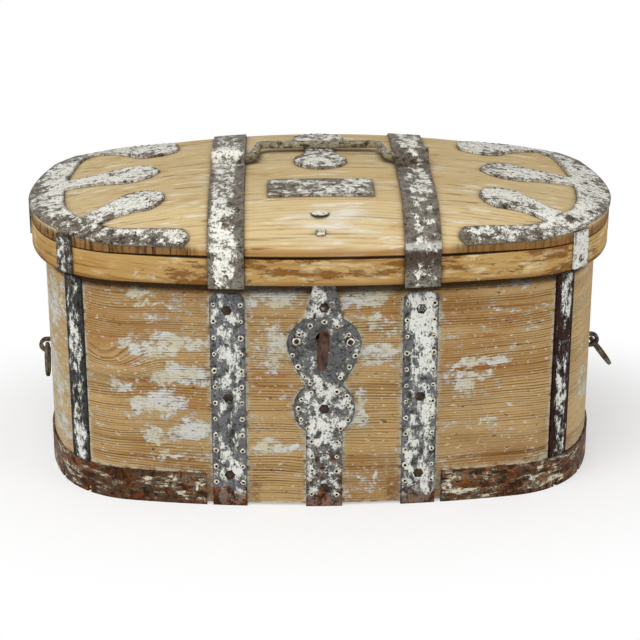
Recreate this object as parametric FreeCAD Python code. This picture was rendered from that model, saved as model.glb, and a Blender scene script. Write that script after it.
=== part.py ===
import FreeCAD, Part
import os
from math import acos, asin, atan2, cos, degrees, radians, sin, sqrt

# Iron-bound oval strongbox: a bent pine wall and lid rim, a carved lid board, hand-forged iron and a lock.
# X runs along the box, Y from the lock face to the hinge face, Z up from the floor. Sizes in millimetres.

# Bent wooden case: half length, half depth, then the radii of the long sides, the ends and the corners
BODY = (285.0, 160.0, 1000.0, 210.0, 100.0)
IRON = 2.5
WALL = 12.0
WALL_TOP = 269.5
BOTTOM_THICKNESS = 13.0
BOTTOM_GAP = 0.2

# Lid: a bent rim that hangs outside the wall, and a board carved to a double curve
OVERHANG = 12.5
RIM_GAP = 2.5
RIM_BOTTOM = 241.0
RIM_TOP = 268.7
BOARD_BOTTOM = 269.5
LID_TOP = 313.0
CROWN_SWING = 1380.0
CROWN_FLAT_HALF = 85.5
CROWN_EDGE_RADIUS = 131.0
CROWN_BEVELS = 4
CROWN_BEVEL_TURN = 13.6
SWING_TURN = 15.0
HOLLOW_DEPTH = 24.0
HOLLOW_SWING = 1212.0
HOLLOW_FLAT_HALF = 72.0
HOLLOW_SLOPE_RUN = 75.0
HOLLOW_SLOPE_FALL = 31.0

# Straps that run right round the case and over the lid, with rolled hinge eyes at the back
STRAP_X = 94.5
STRAP_HALF = 17.3
STRAP_TOP = 228.5
LID_STRAP_FOOT = 238.0
STRAP_CHAMFER = 6.0
PIN_Y = 165.5
PIN_Z = 231.5
PIN_RADIUS = 2.4
PIN_FLATS = 8
PIN_HEAD = (4.2, 1.8)
EYE_RADIUS = 5.5
EYE_SPLIT = (6.1, 6.8)
LID_EYE_BORE = 2.8

# Bands round the foot of the case, straps on its corners and tabs on the lid rim
BAND_TOP = 34.0
BAND_END_X = 118.0
LIP_WIDTH = 14.0
NICK_HALF_ANGLE = 1.6
NICK_HEIGHT = 7.0
NICK_DEPTH = 9.0
NICK_FACINGS = (26.0, 52.0)
CORNER_STRAP_HALF = 12.0
CORNER_STRAP_Z = (34.7, 233.0)
LEFT_CORNER_FACING = 46.0
RIGHT_CORNER_FACING = 51.0
TAB_HALF = 10.0
TAB_Z = (241.5, 279.0)
TAB_FACING = 48.0

# Lid irons: an end band with two tails and three leaves at each end, and three plates
END_BAND_INNER = (262.0, 158.5, 985.0, 400.0, 88.0)
END_BAND_OVERHANG = 1.5
TAIL_END_X = 130.0
TAIL_CORNER = 5.0
LEAF_SHAPE = ((0.0, 13.0), (0.3, 15.0), (0.64, 25.5), (0.91, 15.0))
FRONT_LEAF = ((-228.0, -118.0), (-158.0, -77.0))
MIDDLE_LEAF = ((-268.0, 0.0), (-165.0, 0.0))
BACK_LEAF = ((-236.0, 117.0), (-150.0, 66.0))
NAME_PLATE = (-54.0, 50.5, -108.5, -65.5)
REST_PLATE_Y = 38.0
REST_LOBE_RADIUS = 27.0
REST_LOBE_PITCH = 76.0
REST_NECK_HALF = 15.0

# Drop handle on the lid, folded back onto its rest plate
HANDLE_Z = 319.0
HANDLE_REACH = 40.0
HANDLE_RISE = 0.9
HANDLE_HALF = 3.6
HANDLE_FLATS = 4
HANDLE_END_X = 109.0
HANDLE_BEND_X = 76.0
HANDLE_BEND_RADIUS = 8.0
HANDLE_BEND_TURN = 80.0
STAPLE_HALF = 17.0
STAPLE_Y = (-20.0, 42.0)
STAPLE_SHEET = 2.2
STAPLE_BORE = 6.0

# Rings on the ends, each in an eye driven through the wall
RING_PIVOT_X = 290.5
RING_PIVOT_Z = 113.0
RING_HALF = 1.8
RING_HALF_WIDTH = 12.5
RING_LENGTH = 34.0
RING_FLATS = 10
RIGHT_RING_LIFT = 38.0
END_EYE_HALF = 2.0
END_EYE_RADIUS = 6.2
END_EYE_ROOT_X = 276.0

# Lock plate, seen from the front: half widths and heights
SPIKE_TOP = (10.0, 240.2)
SPIKE_BASE = (18.7, 202.0)
HEART_SIDE = ((28.5, 195.0), (37.0, 177.0), (31.0, 156.5))
WAIST = (19.0, 136.0)
ROUND_PLATE_Z = 107.3
ROUND_PLATE_RADIUS = 30.5
TAIL_HALF = 18.2
SOLE_END_Y = 150.0

# Lock: key turning about Y, bolt sliding along X, hasp on the lid
KEY_X = -2.0
KEY_Z = 181.0
KEYHOLE_RADIUS = 6.5
KEYHOLE_SLOT = (3.6, 19.0)
KEY_SHANK = 3.6
KEY_TIP_Y = -127.5
KEY_FLATS = 8
KEY_COLLAR = 5.8
KEY_COLLAR_Y = (-170.0, -167.0)
KEY_BOW_Y = -191.0
KEY_BOW_RADIUS = 20.0
KEY_BOW_HOLE = 13.0
KEY_BOW_HALF = 4.2
KEY_BOW_CHAMFER = 1.6
KEY_BOW_FLATS = 16
KEY_BOW_TILT = 6.3
BIT_Y = (-141.0, -134.0)
BIT_RADIUS = 16.0
BIT_HALF_THICKNESS = 1.7
WARD_WIDTH = 1.6
WARD_DEPTH = 6.4
CASE_X = (-54.0, 44.0)
CASE_Y = (-145.5, -124.0)
CASE_Z = (158.0, 242.0)
CASE_SHEET = 2.0
CASE_FLANGE = 12.0
BOLT_Y = (-140.0, -135.0)
BOLT_X = (-48.0, 26.0)
BOLT_Z = (190.0, 204.0)
BOLT_NOTCH = (-25.8, 1.4, 198.4)
BOLT_FINGER_TIP = -10.0
BOLT_FINGER_Z = (221.0, 229.0)
BOLT_RISER = 10.0
SPRING_CLEAR = 0.5
SPRING_BOW = ((33.0, 14.0), (14.0, 0.0), (4.0, 0.0), (-6.0, 5.0))
SPRING_THICKNESS = 1.2
SPRING_FOOT = 4.0
SPRING_Y = (-139.0, -136.0)
GUIDE_X = ((-23.0, -18.5), (18.0, 23.0))
GUIDE_GAP = 0.4
GUIDE_SHEET = 1.6
HASP_X = (-11.0, 4.0)
HASP_BLADE_Y = (-131.0, -128.0)
HASP_FOOT_Z = 214.0
HASP_FLANGE_Y = -146.0
HASP_STAPLE_X = (-7.5, 0.5)
HASP_STAPLE_Y = -142.6
HASP_STAPLE_Z = (217.0, 233.0)
HASP_WIRE = 2.2
HASP_GAP = 2.0
HASP_CORNER = 4.0
HASP_RIVET_Y = -135.0
SQUARE_NAIL = (-3.3, -158.0)

# Hand-forged nails: head radius, head height, shank radius, shank length
NAIL_FACETS = 6
STRAP_NAIL = (5.5, 2.8, 1.6, 11.0)
CASE_NAIL = (3.6, 2.0, 1.2, 9.0)
STRAP_NAIL_Z = (34.0, 118.0, 211.0)
LOCK_PLATE_NAILS = ((0.0, 214.5), (-27.0, 180.0), (25.5, 178.5), (0.0, 107.4), (0.0, 20.5))
RIVET_HEAD = (9.5, 3.2, 2.2)
RIVET_FACETS = 12

V = FreeCAD.Vector
UP = V(0, 0, 1)
FAR = 400.0


def oval_frame(oval):
    """Centre of a corner arc, and the two directions, in degrees, at which the corner arc begins and ends."""
    half_length, half_depth, side_radius, end_radius, corner_radius = oval
    side = V(0, side_radius - half_depth, 0)
    end = V(half_length - end_radius, 0, 0)
    from_side = side_radius - corner_radius
    from_end = end_radius - corner_radius
    apart = (end - side).Length
    along = (end - side).multiply(1 / apart)
    reach = (from_side**2 - from_end**2 + apart**2) / (2 * apart)
    across = V(-along.y, along.x, 0).multiply(sqrt(from_side**2 - reach**2))
    corner = side + V(along).multiply(reach) + across
    begin = degrees(atan2(end.y - corner.y, corner.x - end.x))
    finish = degrees(atan2(side.y - corner.y, corner.x - side.x))
    return corner.x, -corner.y, begin, finish


def oval_arcs(oval):
    """The eight tangent arcs of an oval, counter-clockwise: centre, radius, first and last direction."""
    half_length, half_depth, side_radius, end_radius, corner_radius = oval
    x, y, begin, finish = oval_frame(oval)
    end = half_length - end_radius
    side = side_radius - half_depth
    return [
        (V(end, 0, 0), end_radius, -begin, begin),
        (V(x, y, 0), corner_radius, begin, finish),
        (V(0, -side, 0), side_radius, finish, 180 - finish),
        (V(-x, y, 0), corner_radius, 180 - finish, 180 - begin),
        (V(-end, 0, 0), end_radius, 180 - begin, 180 + begin),
        (V(-x, -y, 0), corner_radius, 180 + begin, 180 + finish),
        (V(0, side, 0), side_radius, 180 + finish, 360 - finish),
        (V(x, -y, 0), corner_radius, 360 - finish, 360 - begin),
    ]


def way(direction):
    """Level unit vector that points the given way, in degrees from +X."""
    return V(cos(radians(direction)), sin(radians(direction)), 0)


def oval_place(oval, grow, facing):
    """Point of the grown oval whose outside faces the given way."""
    for centre, radius, first, last in oval_arcs(oval):
        turn = (facing - first) % 360
        if turn <= last - first:
            return centre + way(facing).multiply(radius + grow)


def oval_prism(oval, grow, low, high):
    """Upright solid inside the grown oval."""
    edges = []
    for centre, radius, first, last in oval_arcs(oval):
        middle = (first + last) / 2
        points = [centre + way(a).multiply(radius + grow) + V(0, 0, low) for a in (first, middle, last)]
        edges.append(Part.Arc(*points).toShape())
    return Part.Face(Part.Wire(edges)).extrude(V(0, 0, high - low))


def side_facing(x):
    """The way the front of the case faces at a distance x from its middle."""
    return -degrees(acos(x / BODY[2]))


def side_y(x, grow):
    """Distance from the middle plane to the long side, at x."""
    return sqrt((BODY[2] + grow) ** 2 - x * x) - (BODY[2] - BODY[1])


def box(x, y, z):
    """Upright block between pairs of limits."""
    block = Part.makeBox(x[1] - x[0], y[1] - y[0], z[1] - z[0])
    block.translate(V(x[0], y[0], z[0]))
    return block


def front_prism(edges, y_low, y_high):
    """Closed outline drawn in the XZ plane, made solid along Y."""
    face = Part.Face(Part.Wire(edges))
    face.translate(V(0, y_low, 0))
    return face.extrude(V(0, y_high - y_low, 0))


def polygon(points):
    """Straight edges round a list of points."""
    return Part.makePolygon(points + points[:1]).Edges


def ring_of(count, radius, z):
    """Corners of a regular polygon about the Z axis."""
    return [way(360 * i / count).multiply(radius) + V(0, 0, z) for i in range(count)]


def side_prism(points, x_low, x_high):
    """Polygon of (y, z) pairs, made solid along X."""
    face = Part.Face(Part.Wire(polygon([V(x_low, y, z) for y, z in points])))
    return face.extrude(V(x_high - x_low, 0, 0))


def rod_x(x_low, x_high, radius):
    """Round bar on the hinge line."""
    return Part.makeCylinder(radius, x_high - x_low, V(x_low, PIN_Y, PIN_Z), V(1, 0, 0))


def flat_rod_x(x_low, x_high, radius, flats):
    """Bar with hammered flats on the hinge line."""
    return side_prism([(PIN_Y + p.x, PIN_Z + p.y) for p in ring_of(flats, radius, 0)], x_low, x_high)


def swept_bar(runs, half, flats, level):
    """Forged bar with flats round it, along tangent runs: two points for a straight, three for a bend."""
    pieces = []
    for run in runs:
        line = Part.Arc(*run).toShape() if len(run) == 3 else Part.makeLine(*run)
        side = line.tangentAt(line.FirstParameter).cross(level)
        corners = []
        for i in range(flats):
            turn = radians(360 * (i + 0.5) / flats)
            reach = half / cos(radians(180 / flats))
            corner = V(level).multiply(reach * cos(turn)) + V(side).multiply(reach * sin(turn))
            corners.append(run[0] + corner)
        section = Part.Face(Part.Wire(polygon(corners)))
        if len(run) == 2:
            pieces.append(section.extrude(run[1] - run[0]))
        else:
            turn = degrees(line.LastParameter - line.FirstParameter)
            pieces.append(section.revolve(line.Curve.Center, line.Curve.Axis, turn))
    return pieces[0].fuse(pieces[1:]).removeSplitter()


def swung(profile, reach_z, swing):
    """Symmetric profile of (y, z) points, closed at a level and swung along the box about a far Y axis."""
    half = [V(0, y, z) for y, z in profile]
    other = [V(0, -point.y, point.z) for point in half[::-1]]
    last = half[-1]
    face = Part.Face(Part.Wire(polygon(other + half + [V(0, last.y, reach_z), V(0, -last.y, reach_z)])))
    foot = V(0, 0, half[0].z - swing)
    face.rotate(foot, V(0, 1, 0), -SWING_TURN)
    return face.revolve(foot, V(0, 1, 0), 2 * SWING_TURN)


def crown_profile(lift):
    """Half the carved face across the lid: flat over the middle, then bevels that follow a round edge."""
    radius = CROWN_EDGE_RADIUS + lift
    centre_z = LID_TOP - CROWN_EDGE_RADIUS
    turns = [radians(i * CROWN_BEVEL_TURN) for i in range(CROWN_BEVELS + 1)]
    return [(CROWN_FLAT_HALF + radius * sin(turn), centre_z + radius * cos(turn)) for turn in turns]


def above_crown(lift):
    """All the space above the lid board's carved face, raised square to it by lift."""
    return swung(crown_profile(lift), LID_TOP + FAR, CROWN_SWING + lift)


def crown_z(x, y):
    """Height of the lid board's upper face."""
    profile = crown_profile(0)
    z = LID_TOP
    for low, high in zip(profile, profile[1:]):
        if abs(y) > low[0]:
            z = low[1] + (high[1] - low[1]) * (abs(y) - low[0]) / (high[0] - low[0])
    foot = LID_TOP - CROWN_SWING
    return foot + sqrt((z - foot) ** 2 - x * x)


def lid_form(grow, low):
    """Outer form of the whole lid down to a level, grown on its sides and top."""
    return oval_prism(BODY, OVERHANG + grow, low, LID_TOP + 2 * IRON).cut(above_crown(grow))


LID_WRAP = lid_form(IRON, LID_STRAP_FOOT).cut(lid_form(0, LID_STRAP_FOOT))
LID_SHEET = above_crown(0).cut(above_crown(IRON))
BODY_WRAP = oval_prism(BODY, IRON, 0, WALL_TOP).cut(oval_prism(BODY, 0, IRON, WALL_TOP))


def on_wall(wrap, facing, half_width, z):
    """Upright strip cut from an iron wrap where the case faces a given way."""
    block = box((-half_width, half_width), (-30, 30), z)
    block.rotate(V(0, 0, 0), UP, facing + 90)
    block.translate(oval_place(BODY, 0, facing))
    return wrap.common(block)


def nail(sizes, position, direction, facets=NAIL_FACETS):
    """Rose-headed nail, its square shank driven in against the given outward direction."""
    head, height, shank, length = sizes
    rim = ring_of(facets, head, 0)
    peak = V(0, 0, height)
    faces = [Part.Face(Part.Wire(polygon(rim)))]
    for i in range(facets):
        faces.append(Part.Face(Part.Wire(polygon([rim[i - 1], rim[i], peak]))))
    solid = Part.makeSolid(Part.makeShell(faces))
    point = Part.Face(Part.Wire(polygon(ring_of(4, shank, 0)))).extrude(V(0, 0, -length))
    solid = solid.fuse(point).removeSplitter()
    solid.Placement = FreeCAD.Placement(position, FreeCAD.Rotation(UP, direction))
    return solid


def wall_nail(sizes, facing, z):
    """Nail through an iron strap on the side of the case."""
    return nail(sizes, oval_place(BODY, IRON, facing) + V(0, 0, z), way(facing))


def mirrored(shape):
    """The same piece on the other end of the box."""
    return shape.mirror(V(0, 0, 0), V(1, 0, 0))


def keyhole(grow, y_low, y_high):
    """Round hole with a slot below it."""
    hole = Part.makeCylinder(KEYHOLE_RADIUS + grow, y_high - y_low, V(KEY_X, y_low, KEY_Z), V(0, 1, 0))
    half, drop = KEYHOLE_SLOT
    slot = box((KEY_X - half - grow, KEY_X + half + grow), (y_low, y_high), (KEY_Z - drop - grow, KEY_Z))
    return hole.fuse(slot)


def body_wall():
    """Bent board, bored for the key."""
    wall = oval_prism(BODY, 0, IRON, WALL_TOP).cut(oval_prism(BODY, -WALL, IRON, WALL_TOP))
    return wall.cut(keyhole(0, -BODY[1] - 5, -BODY[1] + WALL + 5))


def bottom_board():
    """Flat board let into the foot of the wall."""
    return oval_prism(BODY, -WALL - BOTTOM_GAP, IRON, IRON + BOTTOM_THICKNESS)


def lid_rim():
    """Bent hoop that hangs outside the wall."""
    return oval_prism(BODY, OVERHANG, RIM_BOTTOM, RIM_TOP).cut(oval_prism(BODY, RIM_GAP, RIM_BOTTOM, RIM_TOP))


def lid_board():
    """Thick board, domed above and hollowed below."""
    top = BOARD_BOTTOM + HOLLOW_DEPTH
    edge = (HOLLOW_FLAT_HALF + HOLLOW_SLOPE_RUN, top - HOLLOW_SLOPE_FALL)
    hollow = swung([(HOLLOW_FLAT_HALF, top), edge], top - FAR, HOLLOW_SWING)
    return lid_form(0, BOARD_BOTTOM).cut(hollow)


def body_knuckle(x_low, x_high):
    """Leaf that jogs out from the wall and rolls round the pin."""
    root = side_y(min(abs(x_low), abs(x_high)), 0) + 0.2
    eye = rod_x(x_low, x_high, EYE_RADIUS)
    leaf = [
        (root, PIN_Z - 15),
        (root + 1.8, PIN_Z - 15),
        (PIN_Y + 3.6, PIN_Z - 4.1),
        (PIN_Y - 3.6, PIN_Z + 4.1),
        (root, PIN_Z - 1),
    ]
    return eye.fuse(side_prism(leaf, x_low, x_high))


def body_strap(side):
    """Strap up the front, under the bottom and up the back, with two hinge eyes."""
    low, high = side * STRAP_X - STRAP_HALF, side * STRAP_X + STRAP_HALF
    cut = STRAP_CHAMFER
    outline = [
        V(low, 0, -1),
        V(high, 0, -1),
        V(high, 0, STRAP_TOP - cut),
        V(high - cut, 0, STRAP_TOP),
        V(low + cut, 0, STRAP_TOP),
        V(low, 0, STRAP_TOP - cut),
    ]
    strap = BODY_WRAP.common(front_prism(polygon(outline), -FAR, FAR))
    strap = strap.fuse(body_knuckle(low, side * STRAP_X - EYE_SPLIT[1]))
    strap = strap.fuse(body_knuckle(side * STRAP_X + EYE_SPLIT[1], high))
    return strap.removeSplitter().cut(flat_rod_x(low - 5, high + 5, PIN_RADIUS, PIN_FLATS))


def lid_strap(side):
    """Strap over the lid and down both faces of the rim, with one hinge eye."""
    middle = side * STRAP_X
    strap = LID_WRAP.common(box((middle - STRAP_HALF, middle + STRAP_HALF), (-FAR, FAR), (0, FAR)))
    low, high = middle - EYE_SPLIT[0], middle + EYE_SPLIT[0]
    face = side_y(min(abs(low), abs(high)), OVERHANG) + 0.2
    leaf = [
        (face, LID_STRAP_FOOT + 6),
        (face + 1.4, LID_STRAP_FOOT + 6),
        (PIN_Y + EYE_RADIUS, PIN_Z),
        (PIN_Y, PIN_Z),
        (PIN_Y, PIN_Z + EYE_RADIUS),
        (face, LID_STRAP_FOOT - 0.5),
    ]
    strap = strap.fuse(rod_x(low, high, EYE_RADIUS)).fuse(side_prism(leaf, low, high)).removeSplitter()
    return strap.cut(rod_x(low - 5, high + 5, LID_EYE_BORE))


def hinge_pin(side):
    """Pin with a clenched six-sided head at each end."""
    radius, thickness = PIN_HEAD
    low, high = side * STRAP_X - STRAP_HALF, side * STRAP_X + STRAP_HALF
    heads = [flat_rod_x(x, x + thickness, radius, NAIL_FACETS) for x in (low - thickness, high)]
    return flat_rod_x(low, high, PIN_RADIUS, PIN_FLATS).fuse(heads)


def base_band():
    """Left band round the foot, its lip nicked so that it folds flat under the bottom."""
    band = BODY_WRAP.common(box((-FAR, -BAND_END_X), (-FAR, FAR), (-1, BAND_TOP)))
    band = band.cut(oval_prism(BODY, -LIP_WIDTH, -1, IRON))
    for turn in NICK_FACINGS:
        for facing in (180 - turn, 180 + turn):
            root = oval_place(BODY, -NICK_DEPTH, facing)
            low = oval_place(BODY, 2 * IRON, facing - NICK_HALF_ANGLE)
            high = oval_place(BODY, 2 * IRON, facing + NICK_HALF_ANGLE)
            nick = Part.Face(Part.Wire(polygon([root, low, high]))).extrude(V(0, 0, NICK_HEIGHT + 1))
            nick.translate(V(0, 0, -1))
            band = band.cut(nick)
    return band


def lock_plate():
    """Spike, heart, round plate and tail, folded under the bottom."""
    right = [V(SPIKE_TOP[0], 0, SPIKE_TOP[1]), V(SPIKE_BASE[0], 0, SPIKE_BASE[1])]
    waist = V(WAIST[0], 0, WAIST[1])
    shoulder, cheek, flank = [V(x, 0, z) for x, z in HEART_SIDE]
    rise = sqrt(ROUND_PLATE_RADIUS**2 - WAIST[0] ** 2)
    fall = sqrt(ROUND_PLATE_RADIUS**2 - TAIL_HALF**2)
    disc_top = V(WAIST[0], 0, ROUND_PLATE_Z + rise)
    disc_side = V(ROUND_PLATE_RADIUS, 0, ROUND_PLATE_Z)
    disc_foot = V(TAIL_HALF, 0, ROUND_PLATE_Z - fall)
    half = [
        Part.makeLine(V(0, 0, SPIKE_TOP[1]), right[0]),
        Part.makeLine(right[0], right[1]),
        Part.Arc(right[1], shoulder, cheek).toShape(),
        Part.Arc(cheek, flank, waist).toShape(),
        Part.makeLine(waist, disc_top),
        Part.Arc(disc_top, disc_side, disc_foot).toShape(),
        Part.makeLine(disc_foot, V(TAIL_HALF, 0, -1)),
        Part.makeLine(V(TAIL_HALF, 0, -1), V(0, 0, -1)),
    ]
    other = [edge.mirror(V(0, 0, 0), V(1, 0, 0)) for edge in half]
    outline = Part.Wire(Part.__sortEdges__(half + other)).Edges
    plate = BODY_WRAP.common(front_prism(outline, -FAR, 0))
    sole = BODY_WRAP.common(box((-TAIL_HALF, TAIL_HALF), (-BODY[1], SOLE_END_Y), (-1, IRON)))
    return plate.fuse(sole).removeSplitter().cut(keyhole(1.0, -BODY[1] - 10, -BODY[1] + 5))


def leaf_prism(ends):
    """Leaf that flares from a narrow neck and rounds off at its tip."""
    root, tip = V(*ends[0], 0), V(*ends[1], 0)
    along = tip - root
    across = V(-along.y, along.x, 0).normalize()
    sides = []
    for hand in (1, -1):
        stations = [V(along).multiply(share) + V(across).multiply(hand * half) for share, half in LEAF_SHAPE]
        neck, flare, wide, round_off = [root + station for station in stations]
        sides += [Part.Arc(neck, flare, wide).toShape(), Part.Arc(wide, round_off, tip).toShape()]
    foot = Part.makeLine(sides[0].Vertexes[0].Point, sides[2].Vertexes[0].Point)
    face = Part.Face(Part.Wire(Part.__sortEdges__(sides + [foot])))
    face.translate(V(0, 0, RIM_BOTTOM))
    return face.extrude(V(0, 0, FAR))


def lid_end_band():
    """Left band that follows the lid's edge, forged in one with three leaves."""
    ring = oval_prism(BODY, OVERHANG + END_BAND_OVERHANG, RIM_BOTTOM, FAR)
    ring = ring.cut(oval_prism(END_BAND_INNER, 0, RIM_BOTTOM, FAR))
    band = ring.common(box((-FAR, -TAIL_END_X), (-FAR, FAR), (RIM_BOTTOM, FAR)))
    edges = [e for e in band.Edges if e.BoundBox.XMin > -TAIL_END_X - 1 and e.BoundBox.ZLength > 1]
    band = band.makeChamfer(TAIL_CORNER, edges)
    for ends in (FRONT_LEAF, MIDDLE_LEAF, BACK_LEAF):
        band = band.fuse(leaf_prism(ends))
    band = band.common(oval_prism(BODY, OVERHANG + END_BAND_OVERHANG, RIM_BOTTOM, FAR))
    return band.common(LID_SHEET)


def name_plate():
    """Bare plate on the front of the lid."""
    x_low, x_high, y_low, y_high = NAME_PLATE
    return box((x_low, x_high), (y_low, y_high), (RIM_BOTTOM, FAR)).common(LID_SHEET)


def handle_rest():
    """Double-lobed plate that the folded handle lies across."""
    lobes = []
    for way_y in (-1, 1):
        centre = V(0, REST_PLATE_Y + way_y * REST_LOBE_PITCH / 2, RIM_BOTTOM)
        lobes.append(Part.makeCylinder(REST_LOBE_RADIUS, FAR, centre))
    y_low, y_high = REST_PLATE_Y - REST_LOBE_PITCH / 2, REST_PLATE_Y + REST_LOBE_PITCH / 2
    neck = box((-REST_NECK_HALF, REST_NECK_HALF), (y_low, y_high), (RIM_BOTTOM, FAR))
    return neck.fuse(lobes).removeSplitter().common(LID_SHEET)


def lid_handle():
    """Bar with two S-bent arms and short legs that turn under the staples."""
    turn = radians(HANDLE_BEND_TURN)
    radius = HANDLE_BEND_RADIUS
    straight = (HANDLE_REACH - 2 * radius * (1 - cos(turn))) / sin(turn)

    def bend(x, y, first, last):
        angles = (first, (first + last) / 2, last)
        return [V(x + radius * cos(a), y + radius * sin(a), 0) for a in angles]

    down, over = radians(-90), radians(90)
    lower = bend(-HANDLE_BEND_X, radius, down, down + turn)
    ankle = lower[2] + V(cos(turn), sin(turn), 0).multiply(straight)
    upper = bend(ankle.x + radius * sin(turn), ankle.y - radius * cos(turn), over + turn, over)
    leg = [V(-HANDLE_END_X, 0, 0), lower[0]]
    bar = [upper[2], V(0, HANDLE_REACH, 0)]
    half = swept_bar([leg, lower, [lower[2], ankle], upper, bar], HANDLE_HALF, HANDLE_FLATS, UP)
    handle = half.fuse(mirrored(half)).removeSplitter()
    handle.rotate(V(0, 0, 0), V(1, 0, 0), degrees(atan2(HANDLE_RISE, HANDLE_REACH)))
    handle.translate(V(0, 0, HANDLE_Z))
    return handle


def handle_staple(side):
    """Broad staple, nailed down on the lid strap and swaged up over a handle leg."""
    x = (side * STRAP_X - STAPLE_HALF, side * STRAP_X + STAPLE_HALF)

    def arch(radius):
        top = Part.makeCylinder(radius, x[1] - x[0], V(x[0], 0, HANDLE_Z), V(1, 0, 0))
        return top.fuse(box(x, (-radius, radius), (RIM_BOTTOM, HANDLE_Z)))

    sheet = above_crown(IRON).cut(above_crown(IRON + STAPLE_SHEET))
    plate = box(x, STAPLE_Y, (RIM_BOTTOM, FAR)).common(sheet)
    bulge = arch(STAPLE_BORE + STAPLE_SHEET).common(above_crown(IRON))
    return plate.fuse(bulge).cut(arch(STAPLE_BORE)).removeSplitter()


def end_eye():
    """Left eye: a bent wire with both legs through the wall."""
    low, high = RING_PIVOT_Z - END_EYE_RADIUS, RING_PIVOT_Z + END_EYE_RADIUS
    tip = V(-RING_PIVOT_X - END_EYE_RADIUS, 0, RING_PIVOT_Z)
    bend = [V(-RING_PIVOT_X, 0, low), tip, V(-RING_PIVOT_X, 0, high)]
    runs = [[V(-END_EYE_ROOT_X, 0, low), bend[0]], bend, [bend[2], V(-END_EYE_ROOT_X, 0, high)]]
    return swept_bar(runs, END_EYE_HALF, 4, V(0, 1, 0))


def end_ring(lift):
    """Left ring: a long link with flats hammered round its bends, hung in its eye and swung out by lift."""
    half, straight = RING_HALF_WIDTH, RING_LENGTH - 2 * RING_HALF_WIDTH

    def outline(radius):
        points = []
        for start, z in ((0, RING_PIVOT_Z - half), (180, RING_PIVOT_Z - half - straight)):
            for i in range(RING_FLATS + 1):
                turn = radians(start + 180 * i / RING_FLATS)
                points.append(V(-RING_PIVOT_X - RING_HALF, radius * cos(turn), z + radius * sin(turn)))
        return Part.Face(Part.Wire(polygon(points)))

    ring = outline(half + RING_HALF).cut(outline(half - RING_HALF)).extrude(V(2 * RING_HALF, 0, 0))
    ring.rotate(V(-RING_PIVOT_X, 0, RING_PIVOT_Z), V(0, 1, 0), lift)
    return ring


def key():
    """Ring-bowed key with a warded bit."""
    root_y = KEY_BOW_Y + (KEY_BOW_RADIUS + KEY_BOW_HOLE) / 2

    def flats(radius, y_low, y_high):
        corners = [V(p.x, y_low, p.y) for p in ring_of(KEY_FLATS, radius, 0)]
        return Part.Face(Part.Wire(polygon(corners))).extrude(V(0, y_high - y_low, 0))

    shank = flats(KEY_SHANK, root_y, KEY_TIP_Y)
    collar = flats(KEY_COLLAR, KEY_COLLAR_Y[0], KEY_COLLAR_Y[1])

    def disc(radius):
        rim = [(KEY_BOW_Y + p.x, p.y) for p in ring_of(KEY_BOW_FLATS, radius, 0)]
        return side_prism(rim, -KEY_BOW_HALF, KEY_BOW_HALF)

    bow = disc(KEY_BOW_RADIUS).cut(disc(KEY_BOW_HOLE))
    bow = bow.makeChamfer(KEY_BOW_CHAMFER, [edge for edge in bow.Edges if edge.BoundBox.XLength < KEY_BOW_HALF])
    bow.rotate(V(0, 0, 0), V(0, 1, 0), KEY_BOW_TILT)
    bit = box((-BIT_HALF_THICKNESS, BIT_HALF_THICKNESS), BIT_Y, (-BIT_RADIUS, 0))
    ward_y = (BIT_Y[0] + BIT_Y[1]) / 2
    ward_z = (-BIT_RADIUS - 1, WARD_DEPTH - BIT_RADIUS)
    ward = box((-FAR, FAR), (ward_y - WARD_WIDTH / 2, ward_y + WARD_WIDTH / 2), ward_z)
    whole = shank.fuse([collar, bow, bit.cut(ward)]).removeSplitter()
    whole.translate(V(KEY_X, 0, KEY_Z))
    return whole


def lock_case():
    """Sheet box open to the wall, slotted for the hasp, with a nailing flange at each side."""
    case = box(CASE_X, CASE_Y, CASE_Z)
    sheet = CASE_SHEET
    inside = box(
        (CASE_X[0] + sheet, CASE_X[1] - sheet),
        (CASE_Y[0] - 1, CASE_Y[1] - sheet),
        (CASE_Z[0] + sheet, CASE_Z[1] - sheet),
    )
    flange = box(
        (CASE_X[0] - CASE_FLANGE, CASE_X[1] + CASE_FLANGE),
        (CASE_Y[0], CASE_Y[0] + sheet),
        (CASE_Z[0] + 10, CASE_Z[1] - 10),
    )
    slot = box(
        (HASP_X[0] - HASP_GAP, HASP_X[1] + HASP_GAP),
        (CASE_Y[0] - 1, HASP_BLADE_Y[1] + HASP_GAP),
        (CASE_Z[1] - 2 * sheet, CASE_Z[1] + 1),
    )
    return case.fuse(flange).cut(inside).cut(slot).removeSplitter()


def lock_bolt():
    """Bar with a talon notch for the key, and a finger that enters the hasp."""
    notch = box((BOLT_NOTCH[0], BOLT_NOTCH[1]), (-FAR, FAR), (0, BOLT_NOTCH[2]))
    bar = box(BOLT_X, BOLT_Y, BOLT_Z).cut(notch)
    riser = box((BOLT_X[0], BOLT_X[0] + BOLT_RISER), BOLT_Y, (BOLT_Z[0], BOLT_FINGER_Z[1]))
    finger = box((BOLT_X[0], BOLT_FINGER_TIP), BOLT_Y, BOLT_FINGER_Z)
    return bar.fuse([riser, finger]).removeSplitter()


def bolt_guides():
    """Two strips bent round the bolt and riveted to the back of the case."""
    guides = []
    gap, sheet = GUIDE_GAP, GUIDE_SHEET
    back = CASE_Y[1] - CASE_SHEET
    for x in GUIDE_X:
        outer = box(x, (BOLT_Y[0] - gap - sheet, back), (BOLT_Z[0] - gap - sheet, BOLT_Z[1] + gap + sheet))
        inner = box(x, (BOLT_Y[0] - gap, back + 1), (BOLT_Z[0] - gap, BOLT_Z[1] + gap))
        guides.append(outer.cut(inner))
    return Part.makeCompound(guides)


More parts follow.
